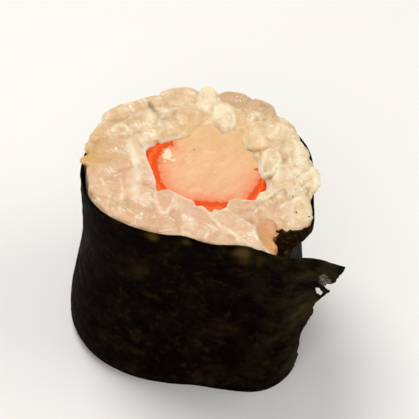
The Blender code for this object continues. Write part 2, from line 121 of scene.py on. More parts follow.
# The rice
VOXEL = 0.18 * MM  # size of the faces of its skin
OVERHANG = 1.7 * MM  # of the grains that stand over the sheet's edge
OVER_EDGE = 0.42 * MM  # the rice that the knife smeared over the sheet's edge
RICE_TO_SHEET = 0.25 * MM  # how much nearer the rice comes to the sheet at the top
BEHIND_LOOSE_END = 2.6 * MM  # how far it fills the wedge behind the loose end at most
RICE_SHOWS_TO = 309  # bearing up to which it shows there
BED_FRONT, BED_BACK = 0.10 * MM, -0.08 * MM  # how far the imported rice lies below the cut
BACK_RISE = 0.3 * MM  # how much higher the back rim is than the cut
TUCK, TUCK_FROM, TUCK_TO = 1.9 * MM, 307, 326  # the sheet's inner end is tucked into the rice
FOOT_BED = 0.4 * MM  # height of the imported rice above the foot
# Grains that the cut face shows: x, y, middle above the cut, yaw, length, width, tint from tan 0 to
# white 1, and blush
GRAINS = (
    # back
    (-2.4, 13.3, 0.3, 4, 5.2, 3.3, 0.5, 0.2), (0.9, 13.2, 0.2, 72, 4, 2.6, 1.05, 0.1),
    (4.4, 12.9, 0.1, 172, 4.6, 2.8, -0.3, 0.1), (7.6, 11.5, 0, 152, 4.4, 2.6, 0.05, 0.1),
    (3.1, 9.5, 0.2, 95, 5.8, 3, 0.9, 0), (-1.3, 9.8, -0.05, 4, 4.2, 3.1, 0.45, 0.5),
    (-5.9, 8.9, 0.2, 95, 5.2, 2.6, 0.75, 0.2), (-6.2, 6.4, -0.1, 60, 3.2, 2.4, 0.8, 0.1),
    (-9.5, 7.3, 0.1, 12, 4, 2.7, 0.6, 0.4), (-7.5, 3.9, 0.1, 92, 5.9, 3.1, 0.85, 0.2),
    (-11, 4.6, 0, 68, 5.5, 3.3, 0.35, 0.2), (-10.1, 10.3, 0.1, 38, 4.6, 2.7, 0.5, 0.2),
    (-12, 6.9, 0.15, 62, 4.4, 2.6, 0.5, 0.2), (-7.9, 11.6, 0.1, 22, 4, 2.4, 0.55, 0.2),
    (-5.6, 12.4, 0.1, 8, 4.6, 2.6, 0.5, 0.1), (-3.2, 7.9, -0.2, 168, 4.6, 2.8, 0.65, 0.3),
    (-9.5, 1.9, -0.1, 40, 5, 3, 0.45, 0.3), (6.9, 9.2, 0.2, 84, 3.4, 2.4, 0.6, 0.3),
    (8.6, 7.3, 0.1, 142, 4.8, 2.8, 0.75, 0), (10.6, 7, 0, 128, 5, 2.7, 0.6, 0.2),
    (10.7, 7.9, 0.05, 128, 4.2, 2, 0.35, 0.1), (6.6, 5.6, 0.1, 150, 4.6, 2.7, 0.7, 0.1),
    (11.6, 3.9, 0.2, 112, 5, 2.8, 0.7, 0.2), (12, 2.2, 0.5, 60, 3.4, 2.4, 0.95, 0.2),
    # right
    (8.8, 1.6, 0.3, 96, 4.6, 2.7, 0.7, 0), (9.9, -2.1, 0.3, 62, 4.8, 3, 0.8, 0.4),
    (7.9, -3.9, 0.8, 28, 2.9, 1.9, 0.95, 0), (12, -0.2, 0.2, 62, 4.4, 2.8, 0.85, 0.2),
    (13.4, -1.6, 0.4, 88, 4.6, 2.8, 0.8, 0.1), (12.6, -3, 0.2, 34, 4, 2.4, 0.85, 0),
    (10.6, -4.6, 0, 22, 3.2, 2.2, 0.4, 0.1), (12.3, -6, 0.35, 86, 5.6, 2.6, 0.7, 0.1),
    (10.2, -6.6, 0.15, 68, 4.6, 2.6, 0.65, 0.3), (8.3, -6.3, -0.4, 150, 4.2, 2.7, 0.45, 0.5),
    (12.3, -8.2, 0, 20, 3.6, 1.8, 0.95, 0), (9, -8.3, -0.1, 80, 4.6, 2.7, 0.3, 0.4),
    # front
    (5.2, -5.2, 0.3, 176, 4, 2.6, 0.45, 0.7), (0.3, -7, 0.15, 25, 4.2, 2.9, 0.5, 1),
    (3.4, -8.6, 0, 148, 6.6, 3.8, 0.75, 0.4), (6, -11.2, 0, 135, 4.7, 2.6, 0.9, 0.1),
    (-4, -5.2, 0.3, 80, 4.6, 3, 0.5, 0.8), (-1.8, -5, 0.2, 104, 4.6, 2.7, 0.65, 0.5),
    (-6, -4.6, 0.3, 92, 4.4, 2.1, 0.9, 0.1), (-7.7, -2, 0, 92, 5.6, 3, 0.8, 0.2),
    (-5.9, -1.5, 0.1, 80, 3, 2.2, 0.6, 1), (-6.2, 0.9, 0, 100, 3, 2, 0.85, 0.2),
    (-10.7, -3, -0.2, 150, 5.8, 3.4, 0.6, 0), (-12, -0.4, -0.1, 82, 5, 3, 0.6, 0),
    (-7.1, -6.6, -0.2, 150, 5.6, 3.2, 0.3, 0.2), (-1, -8.7, 0, 120, 3.8, 2.4, 0.85, 0.3),
    (-4.5, -8.4, -0.2, 165, 5.2, 3, 0.4, 0.4), (0.9, -9.9, 0, 95, 3.6, 2.4, 0.6, 0.6),
    (-8.6, -7.2, -0.1, 140, 4.4, 2.4, 0.55, 0.4),
)
PLUMP = (3.0, 9.2)  # the grain that stands out most, in mm
POINTED = {(10.2, -6.6): 0.4, (9.9, -2.1): 0.35}  # grains with a pointed end: where, and how pointed
YELLOW_GRAIN = (-12.9, 2.2, 0.1, 14, 3.8, 2.6, 0.45, 0)  # as the others, but yellow
DENTS = (  # where the rice stands back: bearing, half width in degrees and depth in mm
    (176.8, 3, 1.5), (185, 7, 0.4), (337, 5, 0.1))
# Where the rice is painted gold as shade next to the stick: x, y, radius and strength
GOLDEN_SPOTS = (
    (4.9, 9.7, 1.1, 0.9), (5.7, 7.7, 1.3, 0.8), (-0.4, 8.8, 1.3, 0.6), (1, 9, 0.9, 0.7),
    (6.2, 4.8, 1.2, 0.3))
YELLOW_SPOTS = ((-13.0, 2.6, 1.5, 0.8), (-11.6, 3.0, 1.3, 0.5), (-12.3, 4.9, 1.3, 0.4))
SEAM_SPREAD = 0.25  # how wide the seams between grains are, in half sizes of a grain
CLEFT_CENTRE = np.array((8.5, -11.2)) * MM  # of the cleft in the rice's front right
CLEFT_LENGTH, CLEFT_WIDTH, CLEFT_DEPTH = 8.0 * MM, 3.1 * MM, 0.55 * MM
CLEFT_BEARING = -77
# Pale rims of grains, painted highlights where they turn up to the light: half width, strength, and x and y
# of each point
PALE_RIMS = (
    (0.19, 0.7, -10.48, 6.88, -10.36, 7.57, -9.88, 8.08, -9.4, 8.08, -8.92, 7.65, -8.55, 7.06, -8.92, 6.54,
     -9.4, 6.46), (0.39, 0.6, -6.27, 10.29, -6.14, 9.44, -6.02, 8.76),
    (0.43, 0.55, -8.67, 5.18, -8.19, 3.82, -7.71, 2.29, -7.35, 0.58, -7.35, -1.12, -7.59, -3, -7.47, -4.7),
    (0.16, 0.35, -7.59, 6.54, -7.23, 5.69, -6.75, 4.67),
    (0.19, 0.55, -1.33, 13.95, -0.6, 13.44, -0.24, 12.68),
    (0.2, 0.45, -4.34, 10.46, -3.25, 10.97, -2.05, 11.31, -0.84, 10.97, -0.24, 9.95, -0.36, 8.76, -1.08,
     8.25, -2.05, 8.42, -2.53, 9.27), (0.31, 0.6, -4.58, 9.78, -4.58, 9.78),
    (0.18, 0.5, -3.98, 8.42, -3.25, 7.74, -2.41, 7.06, -1.57, 6.88), (0.39, 0.8, 0.96, 11.65, 1.08, 10.97),
    (0.19, 0.7, 2.2, 11, 1.7, 9.9, 1.7, 8.7, 2.1, 7.6, 2.9, 6.75, 3.7, 7.1, 4.4, 8, 4.5, 9, 4.1, 10.1, 3.5,
     10.9, 2.7, 11.3, 2.2, 11), (0.16, 0.6, 1.45, 11.48, 1.93, 12, 2.41, 12.34),
    (0.19, 0.7, 5.18, 4.67, 5.66, 3.82, 6.39, 3.31, 7.11, 3.31),
    (0.18, 0.8, 8.07, 3.31, 7.83, 2.29, 7.59, 1.09, 7.59, 0.07, 8.31, -0.27, 8.92, -0.01, 9.64, 0.92, 9.88,
     2.29, 9.64, 3.48, 8.8, 3.82, 8.07, 3.31), (0.17, 0.9, 6.45, 9, 6.6, 9.7, 7, 9.95, 7.3, 9.6),
    (0.3, 0.6, 6.5, 7.6, 7.3, 6.3, 7.9, 4.6), (0.22, 0.7, 11, -5.5, 11.5, -5, 12.5, -4.7),
    (0.18, 0.6, 9.9, -6.2, 10.5, -5.4), (0.2, 0.6, 10.7, -1.5, 10.9, -0.4, 10.6, 0.6),
    (0.2, 0.6, 9.6, 6.6, 9.8, 7.6), (0.18, 0.6, 11.6, 5.3, 12, 4.4, 12.6, 3.9),
    (0.17, 0.6, 10.24, 9.1, 10.36, 7.91, 10.24, 6.88),
    (0.16, 0.6, 8.31, -3.17, 8.92, -1.46, 9.88, 0.58, 10.36, 0.92, 10.96, -0.1, 10.96, -1.8),
    (0.2, 0.75, 7.11, -4.36, 7.47, -3.51, 8.07, -3.08, 8.8, -3.17),
    (0.16, 0.6, 11.08, -9.3, 11.08, -6.91, 11.45, -5.38, 12.17, -4.87, 12.77, -6.06, 13.13, -7.94),
    (0.22, 0.3, 7.59, -6.23, 8.07, -7.43, 8.55, -8.62, 9.76, -8.62),
    (0.2, 0.35, 6.75, -6.32, 7.59, -6.23, 8.07, -5.55), (0.16, 0.7, 5.18, -4.96, 5.78, -4.61, 6.39, -4.87),
    (0.17, 0.85, 1.81, -6.57, 2.41, -6.23, 3.13, -6.32, 3.98, -6.91, 4.94, -7.94, 6.14, -8.79, 6.63, -9.3),
    (0.27, 0.9, 6.51, -9.3, 6.63, -10.32, 6.99, -11.34, 7.71, -12.37, 8.43, -13.56),
    (0.19, 0.7, 1.45, -7.6, 2.05, -8.28, 2.65, -9.3, 3.37, -9.81, 4.22, -10.49, 4.7, -11.68),
    (0.22, 0.7, -5.18, -3.34, -5.18, -4.7, -4.82, -5.89, -4.34, -6.91, -3.73, -6.91, -3.25, -6.06, -3.01,
     -4.87, -2.65, -3.51), (0.29, 0.45, -2.65, -3.68, -2.65, -4.87, -2.89, -6.06),
    (0.16, 0.8, -0.24, -5.72, 0.48, -6.06, 1.08, -6.91, 1.45, -7.68),
    (0.17, 0.6, -1.93, -9.3, -1.81, -10.32), (0.17, 0.8, 0.84, -9.47, 1.08, -10.15, 0.96, -10.83),
    (0.14, 0.7, 1.69, -10.15, 1.69, -9.3, 2.17, -9.64), (0.24, 0.7, -1.81, -7.43, -1.45, -8.11),
    (0.22, 0.6, -0.96, -7.94, -0.84, -8.96),
    (0.16, 0.5, -11.69, -1.12, -11.2, -2.49, -10.72, -4.36, -10.84, -5.89),
    (0.16, 0.55, -9.4, -1.12, -9.04, -3.17, -9.28, -5.21, -9.28, -6.91),
    (0.13, 0.5, -10.48, 0.24, -10.12, -0.78), (0.16, 0.7, -6.27, -3.51, -5.78, -4.36, -5.66, -4.87),
    (0.13, 0.7, -7.47, -8.28, -7.23, -7.43), (0.13, 0.5, -6.87, -7.94, -6.51, -6.74),
    (0.13, 0.5, -8.31, -8.62, -7.71, -8.62), (0.18, 0.5, 12.17, 1.94, 12.05, 3.65, 11.81, 4.84),
    (0.18, 0.5, 13.61, 0.24, 14.1, -1.46, 13.98, -3.17),
    (0.17, 0.5, 11.81, -0.1, 12.41, -1.12, 13.25, -1.46),
    (0.19, 0.7, 11.08, -9.98, 12.17, -10.15, 13.25, -9.64),
)
# Creases between grains, sunk and darkened with painted shade, given in the same way
CREASES = (
    (0.3, 1.2, -6.3, 11.9, -5.7, 11, -5, 10.1), (0.19, 0.55, -5.06, 10.12, -5.12, 9.1, -5.42, 8.08),
    (0.24, 0.5, -4.34, 9.35, -3.61, 9.61, -3.13, 10.12),
    (0.22, 0.35, -2.17, 10.29, -1.45, 9.61, -0.84, 9.44),
    (0.17, 0.6, -2.65, 8.42, -2.17, 7.57, -1.45, 7.14), (0.17, 0.4, -7.47, 5.52, -7.11, 4.84, -6.87, 4.33),
    (0.18, 0.4, -9.4, 8.42, -8.67, 7.91), (0.29, 0.55, 4.82, 11.14, 4.94, 9.78, 4.82, 8.42),
    (0.24, 0.6, 5.3, 10.97, 5.54, 10.29), (0.19, 0.55, 6.02, 3.39, 6.63, 2.97, 7.11, 2.63),
    (0.2, 0.35, 1.4, 10.2, 1.3, 9.2, 1.5, 8.2), (0.2, 0.45, 6.8, -4.9, 6.9, -6, 7.1, -7),
    (0.2, 0.85, 7.59, -0.7, 8.31, -0.87, 8.92, -0.44, 9.28, 0.24), (0.31, 0.6, 7.83, 11.31, 8.43, 11.14),
    (0.18, 0.5, 0.36, 13.36, 0.6, 12.68), (0.24, 0.3, 1.69, 11.31, 1.45, 10.46),
    (0.19, 0.6, 10.12, -3.17, 10.36, -3.85, 10.72, -4.02), (0.19, 0.5, 9.16, -4.19, 9.88, -3.51),
    (0.19, 0.45, 4.82, -5.72, 5.42, -5.3, 6.14, -5.13, 6.87, -5.55), (0.18, 0.5, 7.11, -5.38, 7.71, -5.55),
    (0.24, 0.9, 5.66, -8.11, 6.02, -7.6, 6.27, -8.28), (0.18, 0.5, 3.49, -6.83, 4.46, -7.6, 5.54, -8.62),
    (0.18, 0.5, 6.87, -9.81, 6.99, -10.83, 7.59, -11.85), (0.19, 0.6, -6.39, -2.14, -5.9, -2.23),
    (0.19, 0.7, -5.54, -2.66, -5.42, -3.34, -5.54, -4.36),
    (0.39, 0.35, -5.42, -5.55, -5.42, -7.26, -5.66, -8.62), (0.24, 0.45, -4.7, -9.3, -4.22, -8.96),
    (0.29, 0.3, -11.93, -0.61, -10.96, -1.12, -10.36, -0.95), (0.31, 0.3, -10.12, -3.17, -10, -5.21),
    (0.31, 0.3, -8.43, -4.53, -8.55, -6.23), (0.19, 0.5, 11.2, 3.31, 11.33, 1.94, 11.81, 0.58),
    (0.24, 0.25, 10.48, 3.65, 10.48, 2.29, 10.24, 1.26),
    (0.19, 0.5, 12.41, -2.66, 12.89, -1.97, 13.37, -1.63), (0.19, 0.4, 1.57, -8.45, 2.05, -9.13),
    (0.17, 0.4, -2.29, -7.6, -2.05, -8.79), (0.18, 0.4, -0.6, -5.38, -0.24, -5.38),
    (0.24, 0.85, 12.9, -3, 13.1, -4, 13.3, -5.6), (0.22, 0.8, 6.15, 9.5, 6.2, 9.2),
    (0.22, 0.65, 8.1, 9.2, 8.25, 9), (0.34, 0.4, 10.2, 5.6, 10, 3.8, 10.2, 1.6),
    (0.2, 0.55, 12.2, -0.9, 12.7, -0.3, 13.2, 0.1), (0.2, 0.55, 11, -1.9, 11.4, -1.2, 12.1, -0.8),
    (0.18, 0.7, 5.5, 4.2, 6.1, 3.1, 6.9, 2.5), (0.22, 0.6, 6.9, -8.9, 6.9, -10.4, 7.5, -11.7),
    (0.16, 0.7, 6.9, 9.9, 7.2, 9.3, 7, 8.8),
)
# Crumbs of nori: x, y and two half sizes
CRUMBS = (
    (-0.6, 4.41, 0.17, 0.12), (9.08, 2.15, 0.15, 0.14), (11.57, -3.39, 0.28, 0.12),
    (11.57, -7.08, 0.14, 0.2), (13, -7.77, 0.16, 0.11), (11.2, -4.53, 0.09, 0.15))
# Where white glint specks are painted on the wet rice: x, y and radius
WET_SPOTS = (
    (-6.1, -4.3, 0.8), (-6.9, -7.5, 0.9), (-1.6, -7.8, 0.8), (1.3, -9.4, 0.6), (5.9, -11.2, 1.1),
    (-6.1, 6.5, 0.8), (1.2, 12.4, 0.9), (12.2, -0.7, 1.4), (12.5, 5.1, 1.2), (11.1, -3.9, 0.9),
    (3.1, 9.6, 1.2), (-10.2, 3.8, 0.6), (5, 12.4, 1), (6.6, 9.8, 0.7), (9, 8.2, 0.8), (11, 6.7, 0.8),
    (-8.8, 11, 0.9), (-10.8, 7.2, 0.6), (-6.2, 9.3, 0.8), (-5.9, -1.2, 0.6), (11.7, 3.2, 0.9),
    (12.3, -3.4, 0.9), (12.4, 1.5, 1))


# ---------------------------------------------------------------- the roll's shape

def smooth_step(low, high, value):
    """From 0 at low to 1 at high, softly. The two may stand the other way round."""
    share = np.clip((value - low) / (high - low), 0, 1)
    return share * share * (3 - 2 * share)


def polar(bearing, radius):
    """The place in plan at this bearing and distance from the roll's middle."""
    turn = np.radians(bearing)
    return np.stack((radius * np.cos(turn), radius * np.sin(turn)), -1)


def bearing_of(plan):
    return np.degrees(np.arctan2(plan[..., 1], plan[..., 0])) % 360


def at_height(plan, height):
    """Points from their places in plan and one height, or one for each."""
    return np.column_stack((plan, np.broadcast_to(height, len(plan))))


def noise_at(points, size, shift=(0, 0, 0)):
    """Smooth noise at each point, in waves of about this size."""
    shift = Vector(shift)
    return np.array([noise.noise(Vector(p) / size + shift) for p in points])


def noise_along(places, y, z):
    """Smooth noise along a line, where y and z choose the line."""
    return np.array([noise.noise(Vector((place, y, z))) for place in places])


def reach(points, x, y, a, b=None):
    """Distance of each point from (x, y) in plan, counted in these half sizes, all in mm."""
    return np.hypot((points[:, 0] / MM - x) / a, (points[:, 1] / MM - y) / (b or a))


def radius_at(radii, bearing):
    """Radius of a closed outline whose radii stand at equal steps, on one smooth curve."""
    place = np.mod(bearing, 360) / 360 * len(radii)
    index = np.floor(place).astype(int)
    t = place - index
    a, b, c, d = (radii[(index + k) % len(radii)] for k in (-1, 0, 1, 2))
    return b + 0.5 * t * (c - a + t * (2 * a - 5 * b + 4 * c - d + t * (3 * (b - c) + d - a)))


def rice_radius(bearing, height):
    """Radius of the rice's side: it spreads at the foot, and one corner of the top is drawn out."""
    to_left = np.maximum(0.0, -np.cos(np.radians(bearing))) ** 1.5
    spread = smooth_step(SLUMP_TOP, 1.5 * MM, height) - 0.25 * smooth_step(1.5 * MM, 0, height)
    to_corner = np.exp(-(((np.mod(bearing, 360) - CORNER_BEARING) / CORNER_SPREAD) ** 2))
    drawn_out = CORNER * to_corner * smooth_step(HEIGHT - CORNER_DEPTH, HEIGHT, height)
    to_right = np.exp(-(((np.mod(bearing - FLARE_BEARING + 180, 360) - 180) / FLARE_SPREAD) ** 4))
    drawn_in = FLARE * to_right * smooth_step(FLARE_TOP, FLARE_FOOT, height)
    return radius_at(ROLL_RADII, bearing) + (SLUMP + SLUMP_LEFT * to_left) * spread + drawn_out - drawn_in


def stick_radius(bearing):
    return radius_at(STICK_RADII, bearing)


def from_stick(plan):
    """Bearing of each point about the crab stick, and its distance from the stick's side."""
    away = plan - STICK_CENTRE
    bearing = bearing_of(away)
    return bearing, np.linalg.norm(away, axis=1) - stick_radius(bearing)


def rice_over_stick(bearing):
    """How far the rice lies over the stick's cut end, from its side inwards."""
    return np.interp(bearing, *np.array(RICE_OVER_STICK).T) * MM


def tuck(bearing, height):
    """How far the sheet's inner end, and the rice with it, is tucked in from the roll's side."""
    turned = np.mod(bearing, 360)
    start = smooth_step(TUCK_TO, TUCK_FROM + 2, turned) * smooth_step(TUCK_FROM - 4, TUCK_FROM, turned)
    return TUCK * start * smooth_step(HEIGHT - 6 * MM, HEIGHT - 3 * MM, height)


def sheet_top(bearing):
    """Height of the sheet's upper edge, a little uneven and lowest behind the rice."""
    to_back = 0.5 + 0.5 * np.sin(np.radians(bearing))
    return HEIGHT - LOWEST_AT_BACK * to_back ** 2 + 0.16 * MM * np.sin(np.radians(3 * bearing + 40))


def loose_part(distance, height):
    """Plan of the sheet past SHEET_LEAVES, at one height, for an array of distances along it."""
    bearings = SHEET_LEAVES + 1.5 * np.arange(80)
    rise = LAYER * smooth_step(DOUBLE_FROM, DOUBLE_TO, bearings)
    points = polar(bearings, rice_radius(bearings, height) + SHEET_PITCH + rise)
    travelled = np.concatenate(([0], np.cumsum(np.linalg.norm(np.diff(points, axis=0), axis=1))))
    round_roll = np.stack([np.interp(distance, travelled, points[:, k]) for k in (0, 1)], -1)
    ahead, left = polar(np.array((LOOSE_DIRECTION, LOOSE_DIRECTION + 90)), 1.0)
    ripple = RIPPLE * np.sin(math.tau * distance / RIPPLE_LENGTH) * smooth_step(0, 3 * MM, distance)
    straight = points[0] + ahead * distance[:, None] + left * ripple[:, None]
    peel = min(1.0, height / HEIGHT)
    return round_roll * (1 - peel) + straight * peel


def wedge_fill():
    """How far the rice may fill the space behind the loose end, by height and bearing."""
    rows = []
    for level in FILL_LEVELS:
        plan = loose_part(np.linspace(0, 20 * MM, 60), level)
        bearings = bearing_of(plan)
        room = np.hypot(*plan.T) - SHEET_PITCH - rice_radius(bearings, level)
        rows.append(np.interp(FILL_BEARINGS, bearings, np.minimum(room, BEHIND_LOOSE_END)))
    shows = smooth_step(RICE_SHOWS_TO + 1, RICE_SHOWS_TO - 1, FILL_BEARINGS)
    starts = smooth_step(SHEET_LEAVES - 1, SHEET_LEAVES + 4, FILL_BEARINGS)
    return np.maximum(np.array(rows) * shows * starts, 0)


FILL_LEVELS = np.linspace(0, HEIGHT, 24)
FILL_BEARINGS = np.arange(240.0, 312.0)
FILL = wedge_fill()


def rice_limit(bearing, height):
    """How far out the rice may reach: to the sheet, also where its loose end stands off."""
    height = np.minimum(height, HEIGHT)
    row = np.clip(height / HEIGHT * (len(FILL_LEVELS) - 1), 0, len(FILL_LEVELS) - 1.001)
    column = np.clip(np.mod(bearing, 360) - FILL_BEARINGS[0], 0, len(FILL_BEARINGS) - 1.001)
    i, j = row.astype(int), column.astype(int)
    u, v = row - i, column - j
    lower = FILL[i, j] * (1 - v) + FILL[i, j + 1] * v
    upper = FILL[i + 1, j] * (1 - v) + FILL[i + 1, j + 1] * v
    return rice_radius(bearing, height) + lower * (1 - u) + upper * u


# ---------------------------------------------------------------- meshes

def object_from(name, points, faces, material, slot):
    """An object of the scene with this material. The slot is not used."""
    mesh = bpy.data.meshes.new(name)
    mesh.from_pydata(np.reshape(points, (-1, 3)).tolist(), [], faces)
    mesh.update()
    mesh.shade_smooth()
    mesh.materials.append(material)
    obj = bpy.data.objects.new(name, mesh)
    bpy.context.scene.collection.objects.link(obj)
    return obj


def mark(obj, **marks):
    """Stores a value for each point under each name, for the materials."""
    for name, values in marks.items():
        attribute = obj.data.attributes.new(name, "FLOAT", "POINT")
        attribute.data.foreach_set("value", np.asarray(values, np.float32))


def coordinates(mesh):
    co = np.empty(len(mesh.vertices) * 3, np.float32)
    mesh.vertices.foreach_get("co", co)
    return co.reshape(-1, 3).astype(float)


def apply_modifiers(obj):
    """Gives the object the mesh that its modifiers make."""
    graph = bpy.context.evaluated_depsgraph_get()
    mesh = bpy.data.meshes.new_from_object(obj.evaluated_get(graph))
    obj.modifiers.clear()
    obj.data = mesh


def grid_faces(rows, columns, closed=False):
    """Quads of a grid of points that is stored row by row."""
    sides = list(zip(range(columns), range(1, columns))) + [(columns - 1, 0)] * closed
    return [(r * columns + c, r * columns + d, (r + 1) * columns + d, (r + 1) * columns + c)
            for r in range(rows - 1) for c, d in sides]


# ---------------------------------------------------------------- the nori sheet

def sheet_points():
    """Middle surface of the sheet, row by row, and the distance of each point along its loose part."""
    bearings = start_bearings()
    first = np.exp(-(bearings - SHEET_START) / 7)
    start = smooth_step(SHEET_START + 24, SHEET_START + 14, bearings)
    teeth = noise_along(bearings / 2.5, 3, 1) + 0.5 * noise_along(bearings / 1.1, 8, 1)
    start_top = sheet_top(bearings) + start * (START_RISE + 0.5 * MM * teeth)
    body = LOOSE_LENGTH - FRAYED
    loose = np.concatenate((np.linspace(0, body, int(body / SHEET_STEP), endpoint=False),
                            np.linspace(body, LOOSE_LENGTH, int(FRAYED / FRAYED_STEP))))
    shares = loose / LOOSE_LENGTH
    points, distances = [], []
    for v in np.linspace(0, 1, int(HEIGHT / SHEET_ROW) + 1):
        heights = v * start_top
        ragged = bearings + first * torn_start(float(heights[0]))
        plan = polar(ragged, rice_radius(ragged, heights) + SHEET_PITCH - tuck(ragged, heights))
        edge = v * sheet_top(SHEET_LEAVES + 80 * shares)
        height = float(edge.mean())
        tear = torn_end(height)
        loose_plan = loose_part(shares * tear, height)
        points.append(np.vstack((at_height(plan, heights), at_height(loose_plan, edge))))
        distances.append(np.concatenate((np.full(len(bearings), -1.0), shares * tear)))
    return np.array(points), np.array(distances)


def start_bearings():
    """Bearings of the sheet's columns from its crumpled inner end to where it leaves the roll."""
    fine = np.linspace(SHEET_START, SHEET_START + CRUMPLED, int(CRUMPLED / 0.6), endpoint=False)
    radius = 13.6 * MM  # of the sheet round the roll, about
    steps = int(math.radians(SHEET_LEAVES - SHEET_START - CRUMPLED) * radius / SHEET_STEP)
    return np.concatenate((fine, np.linspace(SHEET_START + CRUMPLED, SHEET_LEAVES, steps, endpoint=False)))


def torn_end(height):
    """Length of the loose part at this height, with the fine teeth of its torn end."""
    place = Vector((0, 0, height))
    teeth = 0.20 * noise.noise(place / (0.8 * MM)) + 0.12 * noise.noise(place / (0.35 * MM))
    return np.interp(height, *TORN_LENGTHS.T) + teeth * MM


def torn_start(height):
    """The teeth of the sheet's inner end, in degrees."""
    place = Vector((5, 0, height))
    back = 4.5 * float(smooth_step(HEIGHT - 8 * MM, HEIGHT - 4 * MM, height))
    return back + 3.0 * noise.noise(place / (1.5 * MM)) + 1.8 * noise.noise(place / (0.6 * MM))


def hole_edge(hole, along, height):
    """How far a point of the loose end is from this hole's edge: 0 on it, below 0 in the hole."""
    middle, level, half_width, half_height, lean = hole
    turn = math.radians(lean)
    u, v = along / MM - middle, height / MM - level
    across = (u * math.cos(turn) + v * math.sin(turn)) / half_width
    down = (v * math.cos(turn) - u * math.sin(turn)) / half_height
    ragged = 0.5 * noise.noise(Vector((along, height, 0)) / (0.5 * MM))
    return (math.hypot(across, down) - 1 + 0.7 * ragged) * half_width * MM


def tear_holes(points, distances, normals_along, normals_up):
    """How far each point is from the nearest hole's edge. Those next to an edge are moved onto it."""
    gaps = np.full(points.shape[:2], 9.0)
    tiny = 0.01 * MM
    for r, c in zip(*np.nonzero(distances > LOOSE_LENGTH - FRAYED)):
        along, height = distances[r, c], points[r, c, 2]
        hole = min(HOLES, key=lambda hole: hole_edge(hole, along, height))
        gap = gaps[r, c] = hole_edge(hole, along, height)
        if abs(gap) < 0.8 * SHEET_ROW:
            slope = np.array((hole_edge(hole, along + tiny, height) - gap,
                              hole_edge(hole, along, height + tiny) - gap)) / tiny
            move = -gap * slope / max(0.3, float(slope @ slope))
            points[r, c] += normals_along[r, c] * move[0] + normals_up[r, c] * move[1]
    return gaps


def crinkle(points, normals, starts):
    """Moves the sheet's points in and out: broad waves, a few wrinkles, and the crumpled inner end."""
    flat, starts = points.reshape(-1, 3), starts.ravel()
    x, y, height = flat.T
    radius = 13.5 * MM  # of the roll, about
    along = np.arctan2(y, x) * radius
    broad = noise_at(np.column_stack((along / 7, height / 4, np.full(len(flat), 3 * MM))), MM)
    fold = noise_at(np.column_stack((along / 3.2, height / 1.3, np.full(len(flat), 7 * MM))), MM)
    where = noise_at(flat, 4 * MM, (0, 0, 20))
    out = 0.10 * broad + 0.10 * fold * np.maximum(0, 0.3 + 1.6 * where) + 0.035 * noise_at(flat, 0.8 * MM)
    crumple = 0.9 * np.abs(noise_at(flat * (1, 1, 0.5), MM)) + 0.3 * noise_at(flat, 0.45 * MM) - 0.2
    out += np.where(starts > 0.02, starts, 0) * crumple
    return points + normals * out.reshape(points.shape[:2] + (1,)) * MM


def nori_sheet(material):
    """The sheet, torn, holed and crinkled, with its thickness."""
    points, distances = sheet_points()
    rows, columns = points.shape[:2]
    along, up = np.gradient(points, axis=1), np.gradient(points, axis=0)
    along /= np.linalg.norm(along, axis=2, keepdims=True)
    up /= np.linalg.norm(up, axis=2, keepdims=True)
    normals = np.cross(along, up)
    normals /= np.linalg.norm(normals, axis=2, keepdims=True)
    heights = points[:, :, 2].copy()
    gaps = tear_holes(points, distances, along, up).ravel()
    bearings = start_bearings()
    starts = np.zeros((rows, columns))
    starts[:, :len(bearings)] = smooth_step(SHEET_START + CRUMPLED, SHEET_START + 2, bearings)
    starts *= smooth_step(HEIGHT - 8 * MM, HEIGHT - 5 * MM, heights)
    points = crinkle(points, normals, starts).reshape(-1, 3)
    faces = [face for face in grid_faces(rows, columns) if sum(gaps[i] for i in face) > 0]
    sheet = object_from("nori_sheet_crinkled", points, faces, material, "nori_sheet")
    distances, heights = distances.ravel(), heights.ravel()
    film = np.zeros(len(heights))
    for k in np.nonzero(distances > LOOSE_LENGTH - FRAYED)[0]:
        film[k] = max(0, min(1, -hole_edge(FILM, distances[k], heights[k]) / (0.35 * MM)))
    mark(sheet, loose=np.clip((distances - 9 * MM) / (9 * MM), 0, 1), start=starts.ravel(), film=film,
         worn=smooth_step(-4 * MM, -6 * MM, points[:, 1]) * spots(points[:, (0, 2, 1)], WORN_SPOTS))
    solidify = sheet.modifiers.new("Thickness", "SOLIDIFY")
    solidify.thickness = SHEET_THICKNESS
    solidify.offset = 0
    apply_modifiers(sheet)
    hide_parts("nori_sheet")
    return sheet


# ---------------------------------------------------------------- the crab stick

def red_depth(bearing):
    """How deep the red layer reaches in, with the teeth of its inner edge."""
    turned = np.where(np.mod(bearing, 360) < RED_FROM, np.mod(bearing, 360) + 360, np.mod(bearing, 360))
    ends = smooth_step(RED_FROM, RED_FROM + 14, turned) * smooth_step(RED_TO, RED_TO - 14, turned)
    depth = radius_at(RED_DEPTHS, bearing) - 0.25 * MM
    for at, tooth, half in RED_TEETH:
        depth = depth + tooth * MM * np.maximum(1 - np.abs(turned - at) / half, 0) ** 1.3
    wave = noise_along(turned / 5, 5, 0) + 0.4 * noise_along(turned / 1.8, 9, 0)
    return np.maximum(depth + 0.2 * MM * wave, 0.05 * MM) * ends


def stick_surface(plan):
    """Height of the stick's cut end: nearly flat, a little domed, with faint diagonal streaks."""
    away = np.linalg.norm(plan - STICK_CENTRE, axis=1) / (7.5 * MM)
    x, y = plan.T
    streaks = noise_at(np.column_stack(((x - y) / 1.1, (x + y) / 4, np.full(len(x), 2 * MM))), MM)
    lumps = noise_at(at_height(plan, 0), 3.2 * MM)
    return STICK_TOP + (0.15 * (1 - away ** 2) + 0.005 * streaks + 0.07 * lumps) * MM


